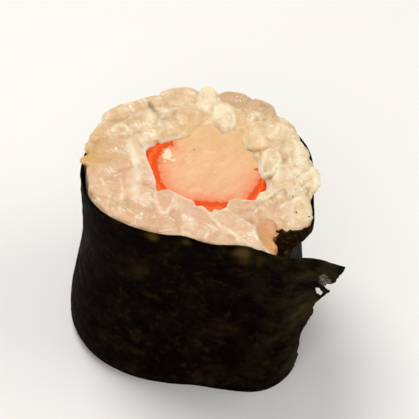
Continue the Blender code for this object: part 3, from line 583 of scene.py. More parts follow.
def pale_patches(plan):
    """How pale each point of the flesh is. The patches have ragged edges."""
    ragged = 0.6 * noise_at(at_height(plan, 1), 0.5 * MM)
    return np.max([strength * smooth_step(1.25, 0.75, ragged + reach(plan, x, y, a, b))
                   for x, y, a, b, strength in PALE_PATCHES], axis=0)


def stick_flesh(material):
    """The pale flesh, which passes under the red layer at both cut ends."""
    steps = 360
    bearings = np.arange(steps) * 360 / steps
    side, depth = stick_radius(bearings), red_depth(bearings)
    outline = side - UNDER_RED * smooth_step(0, 0.3 * MM, depth)
    inner, lip = side - depth, side - rice_over_stick(bearings)
    profile = [(share, 0.0) for share in np.linspace(0.04, 0.97, 26)]
    profile += [(1.0, z) for z in np.linspace(0.0, STICK_TOP - 0.4 * MM, 12)]
    profile += [(1.09, STICK_TOP - 0.2 * MM)]
    profile += [(share, STICK_TOP) for share in np.linspace(1.09, 0.01, 76)]
    back = smooth_step(46, 60, bearings) * smooth_step(110, 92, bearings)
    line = smooth_step(103, 109, bearings) * smooth_step(138, 132, bearings)
    redness = smooth_step(0.3 * MM, 1.3 * MM, radius_at(RED_DEPTHS, bearings)) * (depth > 0.1 * MM)
    points, marks = [], []
    for share, height in profile:
        radii = np.where(depth > 0, min(share, 0.995), share) * outline
        plan = STICK_CENTRE + polar(bearings, radii)
        under = smooth_step(inner - 0.05 * MM, inner + 0.25 * MM, radii) * (depth > 0)
        heights = height + 0.2 * MM * under * (height == 0)
        if height == STICK_TOP:
            rise = smooth_step(side - RIM_WIDTH, side + 0.3 * MM, radii)
            heights = stick_surface(plan) - RED_LIES_IN * under + RIM_RISE * back * rise
        points.append(at_height(plan, heights))
        seeped = np.exp(-np.maximum(inner - radii, 0) / (1.25 * MM)) * redness
        near_red = np.maximum(seeped, 1.4 * line * np.exp(-np.abs(lip - radii) / (0.16 * MM)))
        # Painted shade: the flesh turns gold near the rice, which shades it.
        near_rice = np.exp((radii - side) / (1.9 * MM)) * (1 - redness)
        marks.append((near_red, near_rice, pale_patches(plan), np.exp(-((lip - radii) / (0.5 * MM)) ** 2)))
    faces = grid_faces(len(profile), steps, closed=True)
    top = (len(profile) - 1) * steps
    faces += [list(range(steps))[::-1], list(range(top, top + steps))]
    flesh = object_from("crab_stick_flesh", points, faces, material, "crab_stick")
    near_red, near_rice, pale, lip = np.concatenate(marks, axis=1)
    mark(flesh, near_red=near_red, near_rice=near_rice, pale=pale, lip=lip)
    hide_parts("crab_stick")
    return flesh


def stick_red_layer(material):
    """The red layer: a strip whose inner side has teeth, closed at both cut ends."""
    bearings = np.linspace(RED_FROM, RED_TO, 520)
    outer = stick_radius(bearings)
    depth = np.maximum(red_depth(bearings), 0.05 * MM)
    profile = [(0.0, 0.0)]
    profile += [(0.0, z) for z in np.linspace(2 * MM, STICK_TOP - 0.35 * MM, 8)]
    profile += [(share, STICK_TOP) for share in np.linspace(0.0, 1.0, 18)]
    profile += [(1.0, z) for z in np.linspace(STICK_TOP - 0.3 * MM, 2 * MM, 5)] + [(1.0, 0.0)]
    points = []
    for share, height in profile:
        plan = STICK_CENTRE + polar(bearings, outer - depth * share)
        if height == STICK_TOP:
            rim = smooth_step(0.0, 0.12, share)
            height = stick_surface(plan) + (0.03 * math.sin(math.pi * share) - 0.10 * (1 - rim)) * MM
            height -= RED_LIES_IN * smooth_step(0.85, 1.0, share)
        points.append(at_height(plan, height))
    rows, columns = len(profile), len(bearings)
    last = (rows - 1) * columns
    faces = grid_faces(rows, columns)
    faces += [(c, last + c, last + c + 1, c + 1) for c in range(columns - 1)]
    faces += [[r * columns for r in range(rows)], [r * columns + columns - 1 for r in reversed(range(rows))]]
    layer = object_from("crab_stick_red_layer_toothed", points, faces, material, "crab_stick_red_layer")
    mark(layer, inward=np.repeat([share for share, _ in profile], columns))
    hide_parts("crab_stick_red_layer")
    return layer


# ---------------------------------------------------------------- the rice

def relief(points):
    """How rough the cut face is here: 0 where the knife left it flat, in front, to 1 at the back."""
    x, y = points[..., 0], points[..., 1]
    return smooth_step(-5 * MM, 5 * MM, y + np.where(x > 0, 0.8, 0.45) * x)


# A heap holds a row for each grain: x, y, z, yaw, pitch, length, width, depth, tint, blush and yellow.

def shown_grains(heap):
    """The grains that the cut face shows, from the list."""
    draw = random.Random(3)
    for x, y, up, yaw, length, width, tint, blush in (*GRAINS, YELLOW_GRAIN):
        sink = 0.45 - 0.15 * relief(np.array((x, y)) * MM)
        heap.append((x * MM, y * MM, HEIGHT + (up - sink) * MM, yaw, draw.uniform(-8, 8), length * MM,
                     width * MM, 0.84 * width * MM, tint, blush, 0.6 * (x == YELLOW_GRAIN[0])))


def under_grains(heap, face, seed):
    """The grains between and below them, which show in the gaps, at the top or at the foot."""
    draw = random.Random(seed)
    for share, count in ((0.06, 17), (0.30, 20), (0.54, 24), (0.78, 28), (0.96, 32)):
        for k in range(count):
            bearing = 360 * (k + draw.uniform(-0.35, 0.35)) / count
            out = min(0.97, share + draw.uniform(-0.07, 0.07))
            inner = STICK_CENTRE + polar(bearing, stick_radius(bearing))
            plan = inner * (1 - out) + polar(bearing, rice_radius(bearing, HEIGHT)) * out
            width = draw.uniform(2.4, 3.0) * MM
            turn = draw.uniform(-90, 90) if share < 0.9 else draw.uniform(-35, 35)
            low = draw.uniform(0.75, 1.25) + 0.45 * (1 - relief(plan))
            z = HEIGHT - low * MM if face == "top" else draw.uniform(0.6, 1.1) * MM
            heap.append((*plan, z, bearing + 90 + turn, draw.uniform(-14, 14), draw.uniform(4.4, 5.6) * MM,
                         width, 0.85 * width, draw.uniform(0.2, 0.8), draw.uniform(0.0, 0.4), 0))


def wedge_grains(heap):
    """The grains that show in the wedge behind the loose end, one below the other."""
    draw = random.Random(5)
    for k in range(7):
        bearing = RICE_SHOWS_TO - 4 + draw.uniform(-2, 2)
        height = HEIGHT - (2.6 + 3.2 * k) * MM
        x, y = polar(bearing, rice_radius(bearing, height) + 0.5 * MM)
        heap.append((x, y, height, bearing + 90, draw.uniform(40, 88), 5 * MM, 2.7 * MM, 2.3 * MM,
                     draw.uniform(0.3, 0.7), 0.3, 0))


def turns(heap):
    """A turning matrix for each grain from its yaw and pitch: columns along, across and up."""
    yaw, pitch = np.radians(heap[:, 3]), np.radians(heap[:, 4])
    along = np.stack((np.cos(yaw) * np.cos(pitch), np.sin(yaw) * np.cos(pitch), np.sin(pitch)), -1)
    across = np.stack((-np.sin(yaw), np.cos(yaw), np.zeros_like(yaw)), -1)
    return np.stack((along, across, np.cross(along, across)), -1)


def grain_form():
    """A cooked grain of size one: blunt ends, one side a little flat, slightly bent."""
    bm = bmesh.new()
    bmesh.ops.create_uvsphere(bm, u_segments=20, v_segments=14, radius=1.0)
    y, z, x = np.array([v.co for v in bm.verts]).T
    faces = [[v.index for v in f.verts] for f in bm.faces]
    bm.free()
    girth = np.sqrt(np.maximum(1e-9, y ** 2 + z ** 2))
    blunt = (1 - np.abs(x) ** 2.5) ** (1 / 2.1)
    y, z = y / girth * blunt, z / girth * blunt
    y = y * (1 + 0.10 * x) + 0.14 * (x ** 2 - 0.35)
    return 0.5 * np.stack((x, y, z), -1), faces


def knife_cut(points, centre, draw):
    """Flattens a grain's top where the knife or the next grain pressed it, a little askew."""
    rough = relief(centre)
    rise = BACK_RISE * float(smooth_step(7 * MM, 12 * MM, centre[1]))
    level = HEIGHT + rise + (0.04 + 0.26 * rough + draw.uniform(-0.06, 0.06) * (1 + rough)) * MM
    lean = np.array([draw.uniform(-1, 1) * (0.04 + 0.05 * rough) for _ in range(2)])
    plane = np.minimum(level + (points[:, :2] - centre[:2]) @ lean, HEIGHT + 1.0 * MM)
    over = np.maximum(points[:, 2] - plane, 0)
    return at_height(points[:, :2], points[:, 2] - over + 0.16 * MM * (1 - np.exp(-over / (0.5 * MM))))


def press(points):
    """Presses grains flat where a thing stops them: the board, the sheet and the stick."""
    z = np.maximum(points[:, 2], 0.0)
    away = points[:, :2] - STICK_CENTRE
    bearing, gap = from_stick(points[:, :2])
    over = rice_over_stick(bearing)
    plump = smooth_step(3.6, 2.7, reach(points, *PLUMP, 1 / 1.3, 1))
    raised = np.maximum(plump, 1 - smooth_step(50, 56, bearing) * smooth_step(112, 98, bearing))
    slope = STICK_TOP + (0.08 + 0.09 * raised) * MM + (0.5 + 0.9 * plump) * np.maximum(gap + over * raised, 0)
    z = z - relief(points) * np.maximum(z - slope, 0)
    cleft = smooth_step(0, 0.5, in_cleft(points))
    z = np.where(cleft > 0, np.minimum(z, HEIGHT + (0.5 - 0.5 * cleft) * MM - CLEFT_DEPTH * cleft), z)
    below = smooth_step(STICK_TOP - 0.25 * MM, STICK_TOP - 0.6 * MM, z)
    distance = np.linalg.norm(away, axis=1)
    edge = stick_radius(bearing) + 0.03 * MM - over * (1 - below)
    lip = 0.1 * MM * (1 - below) * (1 - np.exp(-np.maximum(edge - distance, 0) / (0.4 * MM)))
    pushed = np.where(distance < edge, edge - lip, distance)
    plan = STICK_CENTRE + away / np.maximum(distance, 1e-9)[:, None] * pushed[:, None]
    return at_height(keep_in_sheet(plan, z), z)


def keep_in_sheet(plan, z):
    """Draws points in to the sheet's inside, and lets those above its edge stand out over it."""
    bearing = bearing_of(plan)
    distance = np.linalg.norm(plan, axis=1)
    limit = rice_limit(bearing, z) - tuck(bearing, z)
    above_edge = z - sheet_top(bearing)
    clear = 1 - smooth_step(300, 306, bearing) * smooth_step(334, 328, bearing)
    for at, half, depth in DENTS:
        bare = smooth_step(1.3 * half, 0.5 * half, np.abs(bearing - at))
        bare = bare * smooth_step(-3.5 * MM, -1.5 * MM, z - HEIGHT)
        limit -= depth * MM * bare
        clear = clear * (1 - bare)
    limit += RICE_TO_SHEET * smooth_step(-3 * MM, -1 * MM, above_edge)
    limit += OVER_EDGE * clear * smooth_step(-0.02 * MM, 0.12 * MM, above_edge)
    limit += (OVERHANG - OVER_EDGE) * clear * smooth_step(0.2 * MM, 0.7 * MM, above_edge)
    return plan * (np.minimum(distance, limit) / distance)[:, None]


def bed_depth(plan):
    """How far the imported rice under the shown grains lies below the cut, at each point."""
    rough = relief(plan)
    depth = BED_FRONT + (BED_BACK - BED_FRONT) * rough - BACK_RISE * smooth_step(7 * MM, 12 * MM, plan[:, 1])
    by_stick = rough * smooth_step(1.3 * MM, 0.2 * MM, from_stick(plan)[1])
    depth += (HEIGHT - STICK_TOP - depth - 0.04 * MM) * by_stick
    return depth + CLEFT_DEPTH * in_cleft(at_height(plan, HEIGHT))


def rice_core():
    """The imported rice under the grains: a thick tube round the stick, in rings."""
    sides = 180
    bearings = np.arange(sides) * 360 / sides
    top = HEIGHT - 1.2 * MM
    rings = []
    for z in np.linspace(FOOT_BED, top, 14):
        outer = polar(bearings, rice_limit(bearings, np.full(sides, z)) - tuck(bearings, z))
        rings.append(at_height(outer, z))
    inner = STICK_CENTRE + polar(bearings, stick_radius(bearings))
    for share in np.linspace(0.97, 0.03, 25):
        plan = inner + (outer - inner) * share
        rings.append(at_height(plan, HEIGHT - bed_depth(plan)))
    for z in np.linspace(STICK_TOP - 0.2 * MM, FOOT_BED, 8):
        rings.append(at_height(STICK_CENTRE + polar(bearings, stick_radius(bearings) + 0.03 * MM), z))
    last = (len(rings) - 1) * sides
    faces = grid_faces(len(rings), sides, closed=True)
    faces += [(last + k, last + (k + 1) % sides, (k + 1) % sides, k) for k in range(sides)]
    return np.vstack(rings), faces


def in_cleft(points):
    """How deep each point lies in the cleft: 1 in the middle, 0 at its side."""
    turn = math.radians(CLEFT_BEARING)
    x, y = (points[:, :2] - CLEFT_CENTRE).T
    u = (x * math.cos(turn) + y * math.sin(turn)) / (CLEFT_LENGTH / 2)
    v = (y * math.cos(turn) - x * math.sin(turn)) / (CLEFT_WIDTH / 2)
    return np.clip(1 - u ** 2 - v ** 2, 0, 1)


def grain_marks(points, heap):
    """For each point: the colour values of the grain it is on, and how near it is to a seam."""
    frames = turns(heap)
    marks = np.empty((len(points), 4))
    for first in range(0, len(points), 4000):
        offset = points[first:first + 4000, None, :] - heap[None, :, :3]
        local = np.einsum("pgi,gij->pgj", offset, frames) / (heap[:, 5:8] / 2)
        nearness = np.sqrt((local ** 2).sum(-1))
        two = np.partition(nearness, 1, axis=1)[:, :2]
        weight = np.exp(-nearness * 7)
        weight /= weight.sum(1, keepdims=True)
        marks[first:first + 4000, :3] = weight @ heap[:, 8:]
        marks[first:first + 4000, 3] = np.exp(-(two[:, 1] - two[:, 0]) / SEAM_SPREAD)
    return marks


def wetness(points):
    """How strongly glints are painted at each point: 1 in the middle of a glint spot, and 0 away from all of
    them.
    """
    return np.max([smooth_step(1.3, 0.4, reach(points, x, y, radius)) for x, y, radius in WET_SPOTS], axis=0)


def spots(points, table):
    """How strongly each point is coloured by these spots, whose edges wander."""
    wander = 0.8 * noise_at(points, 1.2 * MM)
    return np.max([strength * np.exp(-np.maximum(reach(points, x, y, radius) + wander, 0) ** 2)
                   for x, y, radius, strength in table], axis=0)


def near_lines(points, lines):
    """How near each point of the cut face is to these lines: their strength on them, and 0 well away."""
    value = np.zeros(len(points))
    top = np.nonzero(points[:, 2] > HEIGHT - 2.5 * MM)[0]
    wander = np.array([noise.noise_vector(Vector(p) / (1.3 * MM)) for p in points[top]])
    plan = points[top, :2] / MM + 0.22 * wander[:, :2]
    for half_width, strength, *line in lines:
        line = np.array(line).reshape(-1, 2)
        nearest = np.full(len(top), 9.0)
        for start, along in zip(line, np.diff(line, axis=0)):
            share = np.clip((plan - start) @ along / max(float(along @ along), 1e-6), 0, 1)
            nearest = np.minimum(nearest, np.linalg.norm(plan - start - share[:, None] * along, axis=1))
        value[top] = np.maximum(value[top], 0.88 * strength * np.exp(-(nearest / (1.15 * half_width)) ** 2))
    value[top] *= np.clip(0.75 + 0.8 * noise_at(points[top], 0.7 * MM, (0, 0, 6)), 0.2, 1)
    return value


def heaped(heap):
    """Points and faces of the core and of every grain, each turned, placed, cut and pressed."""
    form, form_faces = grain_form()
    frames = turns(heap)
    pointed = [POINTED.get(tuple(np.round(place / MM, 3)), 0) for place in heap[:, :2]]
    draw = random.Random(17)
    points, faces = rice_core()
    points, faces, count = [points], list(faces), len(points)
    for k in np.nonzero((in_cleft(heap) < 0.35) | (heap[:, 2] < HEIGHT - 5 * MM))[0]:
        centre = heap[k, :3]
        lump = np.array([noise.noise(Vector(p) * 2.2 + Vector((k, 0, 0))) for p in form])
        local = form * (1 + 0.08 * lump[:, None]) * heap[k, 5:8]
        if pointed[k]:
            local[:, 1:] *= (1 + pointed[k] * 2 * form[:, 0] - 0.35 * (2 * form[:, 0]) ** 2)[:, None]
        placed = centre + local @ frames[k].T
        if HEIGHT - 5 * MM < centre[2] < HEIGHT + 0.3 * MM:
            placed = knife_cut(placed, centre, draw)
        points.append(press(placed))
        faces += [[count + i for i in face] for face in form_faces]
        count += len(form)
    return np.vstack(points), faces


def rice(material):
    """Every grain fused with the core into one skin, softened, roughened and marked for its material."""
    heap = []
    shown_grains(heap)
    under_grains(heap, "top", 7)
    under_grains(heap, "foot", 11)
    wedge_grains(heap)
    heap = np.array(heap)
    grains = object_from("rice_grains", *heaped(heap), material, "rice")
    fuse = grains.modifiers.new("Fuse", "REMESH")
    fuse.mode = "VOXEL"
    fuse.voxel_size = VOXEL
    fuse.use_smooth_shade = True
    soften = grains.modifiers.new("Soften", "SMOOTH")
    soften.factor = 0.5
    soften.iterations = 3
    apply_modifiers(grains)
    roughen(grains, heap)
    thin_hidden_walls(grains)
    mark_rice(grains, heap)
    grains.data.shade_smooth()
    grains.data.materials.clear()
    grains.data.materials.append(material)
    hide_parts("rice")
    return grains


def mark_rice(grains, heap):
    """Marks where the grains are tan, pink or yellow, gold with painted shade by the stick, dark with painted
    shade in the hollows between grains, and pale at a rim or white in specks with painted highlights and
    glints.
    """
    points = coordinates(grains.data)
    tint, blush, yellow, seam = grain_marks(points, heap).T
    cream = relief(points)
    bearing, gap = from_stick(points[:, :2])
    lip = np.exp(-((gap + rice_over_stick(bearing)) / (0.5 * MM)) ** 2)
    lip *= points[:, 2] > STICK_TOP - 0.3 * MM
    # Painted shade: the rice turns gold near the stick's back side and at the spots, where it lies in shade.
    by_stick = np.exp(-np.maximum(gap - 0.5 * MM, 0) / (1.1 * MM)) * smooth_step(130, 108, bearing)
    by_stick *= smooth_step(0, 4 * MM, points[:, 1] - STICK_CENTRE[1])
    golden = np.maximum(np.where(points[:, 0] < 5 * MM, 1.0, 0.6) * by_stick, spots(points, GOLDEN_SPOTS))
    in_sight = smooth_step(HEIGHT - 8 * MM, HEIGHT - 2 * MM, points[:, 2])
    # Painted shade: the rice in the cleft is coloured darker orange, as it lies in shade.
    cleft = smooth_step(0, 0.45, in_cleft(points)) * in_sight
    # Painted glints: white specks where the rice is wet.
    mark(grains, tint=tint, blush=blush, seam=seam, cream=cream, lip=lip, cleft=cleft, wet=wetness(points),
         # The creases are darkened with painted shade.
         yellow=np.maximum(yellow, spots(points, YELLOW_SPOTS)), crease=near_lines(points, CREASES),
         # The rims, and the rice's lip over the stick, are lightened with painted highlight.
         rim=np.maximum((0.7 - 0.35 * cream) * lip ** 3, near_lines(points, PALE_RIMS)),
         golden=golden * smooth_step(1.3, 1.7, reach(points, 3.1, 9.15, 1, 1 / 0.6)))


def roughen(grains, heap):
    """Sinks the seams between grains, and adds the small lumps and pits of cooked rice."""
    points = coordinates(grains.data)
    normals = np.empty(len(points) * 3, np.float32)
    grains.data.vertices.foreach_get("normal", normals)
    shown = np.nonzero((points[:, 2] > HEIGHT - 3 * MM) | (points[:, 2] < 2 * MM))[0]
    face = points[shown]
    seam = grain_marks(face, heap)[:, 3]
    rough = relief(face)
    out = (0.03 + 0.02 * rough) * noise_at(face, 1.5 * MM)
    out += (0.015 + 0.035 * rough) * noise_at(face, 0.6 * MM, (9, 0, 0))
    out += (0.03 + 0.05 * rough) * near_lines(face, PALE_RIMS)
    out -= (0.06 + 0.08 * rough) * near_lines(face, CREASES)
    deep = (0.025 + 0.05 * rough) * np.clip(0.6 + 1.6 * noise_at(face, 2.4 * MM, (0, 4, 0)), 0.1, 1)
    out += 0.5 * deep * np.exp(-((seam - 0.45) / 0.15) ** 2) - deep * smooth_step(0.6, 1.0, seam)
    points[shown] += normals.reshape(-1, 3)[shown] * out[:, None] * MM
    points[:, 2] = np.maximum(points[:, 2], 0)
    grains.data.vertices.foreach_set("co", points.astype(np.float32).ravel())
    grains.data.update()


def thin_hidden_walls(grains):
    """Takes faces out of the walls that nori and stick hide, and leaves both cut faces whole."""
    points = coordinates(grains.data)
    bearing = bearing_of(points)
    near_wedge = (bearing > 290) & (bearing < 315) & (np.hypot(points[:, 0], points[:, 1]) > 12 * MM)
    hidden = (points[:, 2] > 2.5 * MM) & (points[:, 2] < HEIGHT - 3.5 * MM) & ~near_wedge
    group = grains.vertex_groups.new(name="hidden")
    group.add(np.nonzero(hidden)[0].tolist(), 1.0, "REPLACE")
    thin = grains.modifiers.new("Thin", "DECIMATE")
    thin.ratio = 0.55
    thin.vertex_group = group.name
    apply_modifiers(grains)
    grains.vertex_groups.clear()


def nori_crumbs(material, surfaces):
    """Crumbs of the nori that the knife left on rice and fish: small flat flakes with nine corners."""
    graph = bpy.context.evaluated_depsgraph_get()
    trees = [BVHTree.FromObject(surface, graph) for surface in surfaces]
    draw = random.Random(2)
    points, faces = [], []
    for x, y, half_length, half_width in CRUMBS:
        above = Vector((x * MM, y * MM, HEIGHT + 5 * MM))
        hits = [tree.ray_cast(above, Vector((0, 0, -1)))[0] for tree in trees]
        level = max(hit.z for hit in hits if hit)
        corners = polar(40 * np.arange(9), np.array([draw.uniform(0.75, 1.15) for _ in range(9)]))
        rim = (np.array((x, y)) + corners * (half_length, half_width)) * MM
        first = len(points)
        points += [*at_height(rim, level - 0.03 * MM), (x * MM, y * MM, level + 0.04 * MM)]
        faces += [(first + k, first + (k + 1) % 9, first + 9) for k in range(9)]
        faces.append(tuple(first + k for k in reversed(range(9))))
    return object_from("nori_crumbs", points, faces, material, "nori_sheet")


# ---------------------------------------------------------------- materials

def linear(hex_colour):
    """A linear colour from sRGB hex."""
    values = [int(hex_colour[i:i + 2], 16) / 255 for i in (1, 3, 5)]
    return [v / 12.92 if v <= 0.04045 else ((v + 0.055) / 1.055) ** 2.4 for v in values] + [1.0]


def new_material(name, values):
    """A material with one surface shader, whose sockets get these values."""
    material = bpy.data.materials.new(name)
    material.use_nodes = True
    shader = material.node_tree.nodes["Principled BSDF"]
    for socket, value in values.items():
        shader.inputs[socket].default_value = value
    return material, material.node_tree, shader


MIX_A, MIX_B = 6, 7  # the colour sockets of a Mix node
COLOUR = {"data_type": "RGBA"}
NOISE = ("Scale", "Detail", "Roughness")
RANGE = ("From Min", "From Max", "To Min", "To Max")
# The output that a link takes where it isn't the first: a colour, a number and the place in metres
OUTPUTS = {"ShaderNodeMix": 2, "ShaderNodeAttribute": 2, "ShaderNodeTexCoord": 3}


def link(tree, node, links):
    """Links sockets of the node to other nodes, or to a named output: (node, output)."""
    for socket, source in links.items():
        source, output = source if isinstance(source, tuple) else (source, OUTPUTS.get(source.bl_idname, 0))
        tree.links.new(source.outputs[output], node.inputs[socket])


def add(tree, kind, settings=None, values=None, links=None, stops=()):
    """Adds a node with its settings, values and links. The stops are the colours along a ramp."""
    node = tree.nodes.new("ShaderNode" + kind)
    for name, setting in (settings or {}).items():
        setattr(node, name, setting)
    for socket, value in (values or {}).items():
        node.inputs[socket].default_value = value
    link(tree, node, links or {})
    for place, colour in stops[2:]:
        node.color_ramp.elements.new(place)
    for element, (place, colour) in zip(node.color_ramp.elements if stops else (), stops):
        element.position = place
        element.color = linear(colour)
    return node


def in_mm(tree):
    """The place on the object in millimetres, which the patterns are scaled by."""
    return add(tree, "Mapping", values={"Scale": (1000, 1000, 1000)}, links={"Vector": add(tree, "TexCoord")})


def toasted_nori():
    """Toasted seaweed sheet: almost black, brown and olive where it is thin, with a faint sheen."""
    material, tree, shader = new_material("toasted_nori", {"Specular IOR Level": 0.009})
    mm = in_mm(tree)
    loose, worn, start, film = (add(tree, "Attribute", {"attribute_name": name})
                                for name in ("loose", "worn", "start", "film"))
    # scale, detail and roughness of the fibres' clouds, the specks, thin patches, frayed ends and weave
    cloud, specks, patches, frayed, weave = (
        add(tree, "TexNoise", values=dict(zip(NOISE, look)), links={"Vector": mm})
        for look in ((0.28, 6, 0.66), (0.9, 3, 0.55), (0.38, 4, 0.6), (1.4, 4, 0.7), (1.1, 3, 0.55)))
    dark = add(tree, "ValToRGB", links={"Fac": cloud},
               stops=((0.36, "#060201"), (0.48, "#0a0402"), (0.58, "#150b05"), (0.72, "#2b1f0d")))
    fleck = add(tree, "ValToRGB", links={"Fac": specks}, stops=((0.54, "#000000"), (0.80, "#ffffff")))
    patchy, curled, torn, rough = (
        add(tree, "MapRange", values=dict(zip(RANGE, limits)), links={"Value": source})
        for source, *limits in ((patches, 0.42, 0.72, 0, 1), (frayed, 0.56, 0.74, 0, 1),
                                (frayed, 0.38, 0.62, 0.1, 1), (specks, 0.3, 0.7, 0.45, 0.75)))
    # Painted highlight: the curls of the crumpled inner end are lightened.
    thin, pale, grey = (add(tree, "Math", {"operation": "MULTIPLY"}, links={0: a, 1: b})
                        for a, b in ((loose, patchy), (start, curled), (film, torn)))
    colour = dark
    # The pale #a08f6a coat on the curls is a painted highlight.
    for coat, share in (("#2a1e0d", fleck), ("#302f19", thin), ("#6b5429", worn), ("#3a2610", start),
                        ("#a08f6a", pale), ("#888573", grey)):
        colour = add(tree, "Mix", COLOUR, {MIX_B: linear(coat)}, {0: share, MIX_A: colour})
    bump = add(tree, "Bump", values={"Strength": 0.4, "Distance": 0.12 * MM}, links={"Height": weave})
    link(tree, shader, {"Base Color": colour, "Roughness": rough, "Normal": bump})
    return material


def cooked_rice():
    """Cooked short-grain rice: cream and moist, so light sinks in and softens every edge."""
    material, tree, shader = new_material("cooked_rice", {
        "Roughness": 0.38, "Specular IOR Level": 0.4, "Subsurface Radius": (1.0, 0.82, 0.64),
        "Subsurface Scale": 1.2 * MM, "Coat Weight": 0.08, "Coat Roughness": 0.15})
    mm = in_mm(tree)
    tint, cream, blush, seam, yellow, cleft, crease, rim, wet, golden, lip = (
        add(tree, "Attribute", {"attribute_name": name}) for name in (
            "tint", "cream", "blush", "seam", "yellow", "cleft", "crease", "rim", "wet", "golden", "lip"))
    # scale, detail and roughness of clouds in the grains, fine specks for the painted glints and mottle,
    # uneven skin and bent folds
    cloud, fine, skin, bent = (
        add(tree, "TexNoise", values=dict(zip(NOISE, look)), links={"Vector": mm})
        for look in ((0.7, 5, 0.62), (3.6, 2, 0.6), (1.9, 5, 0.62), (0.5, 3, 0.5)))
    pushed = add(tree, "VectorMath", {"operation": "MULTIPLY_ADD"}, {1: (3, 3, 3)},
                 {0: (bent, "Color"), 2: mm})
    folds = add(tree, "TexVoronoi", {"feature": "DISTANCE_TO_EDGE"}, {"Scale": 0.5}, {"Vector": pushed})
    cloudy, parts, ridge, where, bubbles, mottle, sunk = (
        add(tree, "MapRange", values=dict(zip(RANGE, limits)), links={"Value": source})
        for source, *limits in (
            (cloud, 0.3, 0.7, -0.4, 0.4), (cloud, 0.5, 0.66, 0, 0.6), (folds, 0, 0.05, 1, 0),
            (cloud, 0.5, 0.62, 0, 1), (fine, 0.54, 0.66, 0, 0.85), (fine, 0.6, 0.78, 0, 0.5),
            (lip, 0, 1, 1, 0.05)))
    shade = add(tree, "Math", {"operation": "ADD"}, links={0: tint, 1: cloudy})
    front, back = (
        add(tree, "ValToRGB", links={"Fac": shade}, stops=((0, low), (0.5, middle), (1, high)))
        for low, middle, high in (("#d6ac80", "#ddb68e", "#e9cfac"), ("#ccab82", "#ddc196", "#f0e0bd")))
    colour = add(tree, "Mix", COLOUR, links={0: cream, MIX_A: front, MIX_B: back})
    # Beside each seam a pale band is painted as highlight, and the seam itself is darkened with painted
    # shade.
    ring = add(tree, "ValToRGB", links={"Fac": seam},
               stops=((0.30, "#000000"), (0.45, "#ffffff"), (0.60, "#ffffff"), (0.74, "#000000")))
    dip = add(tree, "ValToRGB", links={"Fac": seam}, stops=((0.80, "#000000"), (1, "#303030")))
    # The white specks over the wet spots are painted glints.
    broken, ridges, glint = (add(tree, "Math", {"operation": "MULTIPLY"}, links={0: a, 1: b})
                             for a, b in ((ring, parts), (ridge, where), (wet, bubbles)))
    weaker, faint, soaked = (add(tree, "Math", {"operation": "MULTIPLY"}, {1: share}, {0: source})
                             for source, share in ((blush, 0.45), (ridges, 0.22), (golden, 0.92)))
    # The rims and faint ridges are lightened with painted highlight.
    lit, white = (add(tree, "Math", {"operation": "MAXIMUM"}, links={0: a, 1: b})
                  for a, b in ((rim, faint), (glint, mottle)))
    # Of these coats, the pale seam band and the rim coat are painted highlights, the white coat is painted
    # glints with a milky mottle, and the dark seam, cleft, crease and gold coats are painted shade.
    for coat, share in (("#e2b19c", weaker), ("#faf0dc", broken), ("#cfa67a", dip), ("#d1a455", yellow),
                        ("#dba068", cleft), ("#a9875c", crease), ("#fff3dd", lit), ("#fffbf0", white),
                        ("#edc998", soaked)):
        colour = add(tree, "Mix", COLOUR, {MIX_B: linear(coat)}, {0: share, MIX_A: colour})
    uneven = add(tree, "Math", {"operation": "MULTIPLY_ADD"}, {1: 0.5}, {0: ridges, 2: skin})
    bump = add(tree, "Bump", values={"Strength": 0.75, "Distance": 0.16 * MM}, links={"Height": uneven})
    link(tree, shader, {"Base Color": colour, "Subsurface Weight": sunk, "Normal": bump})
    return material


def pressed_fish():
    """Pressed fish flesh: smooth, peach and moist, with faint streaks where its sheets were rolled."""
    material, tree, shader = new_material("pressed_fish", {
        "Roughness": 0.46, "IOR": 1.40, "Subsurface Radius": (1.0, 0.6, 0.4), "Subsurface Scale": 1.0 * MM})
    mm = in_mm(tree)
    near_red, near_rice, pale, lip = (add(tree, "Attribute", {"attribute_name": name})
                                      for name in ("near_red", "near_rice", "pale", "lip"))
    turned = add(tree, "Mapping", {"vector_type": "TEXTURE"},
                 {"Rotation": (0, 0, math.radians(48)), "Scale": (2.6, 0.9, 2.0)}, {"Vector": mm})
    # scale, detail and roughness of the streaks, flecks and blotches
    streaks, fine, blotch = (
        add(tree, "TexNoise", values=dict(zip(NOISE, look)), links={"Vector": place})
        for place, *look in ((turned, 0.9, 4, 0.6), (mm, 1.6, 4, 0.7), (mm, 1.1, 3, 0.5)))
    flecks, inside, sunk = (
        add(tree, "MapRange", values=dict(zip(RANGE, limits)), links={"Value": source})
        for source, *limits in (
            (fine, 0.58, 0.74, 0, 0.55), (blotch, 0.28, 0.40, 0, 1), (lip, 0, 1, 0.6, 0.05)))
    colour = add(tree, "ValToRGB", links={"Fac": streaks},
                 stops=((0.30, "#e1ad7f"), (0.50, "#e7b98d"), (0.70, "#ecc399")))
    less = add(tree, "Math", {"operation": "MULTIPLY", "use_clamp": True}, {1: 0.95}, {0: near_red})
    patch = add(tree, "Math", {"operation": "MULTIPLY"}, links={0: pale, 1: inside})
    whiter = add(tree, "Math", {"operation": "MAXIMUM"}, links={0: patch, 1: flecks})
    # The gold coat near the rice is painted shade.
    for coat, share in (("#ee7c4c", less), ("#e3b67e", near_rice), ("#fbdcb6", whiter)):
        colour = add(tree, "Mix", COLOUR, {MIX_B: linear(coat)}, {0: share, MIX_A: colour})
    bump = add(tree, "Bump", values={"Strength": 0.12, "Distance": 0.06 * MM}, links={"Height": streaks})
    link(tree, shader, {"Base Color": colour, "Subsurface Weight": sunk, "Normal": bump})
    return material


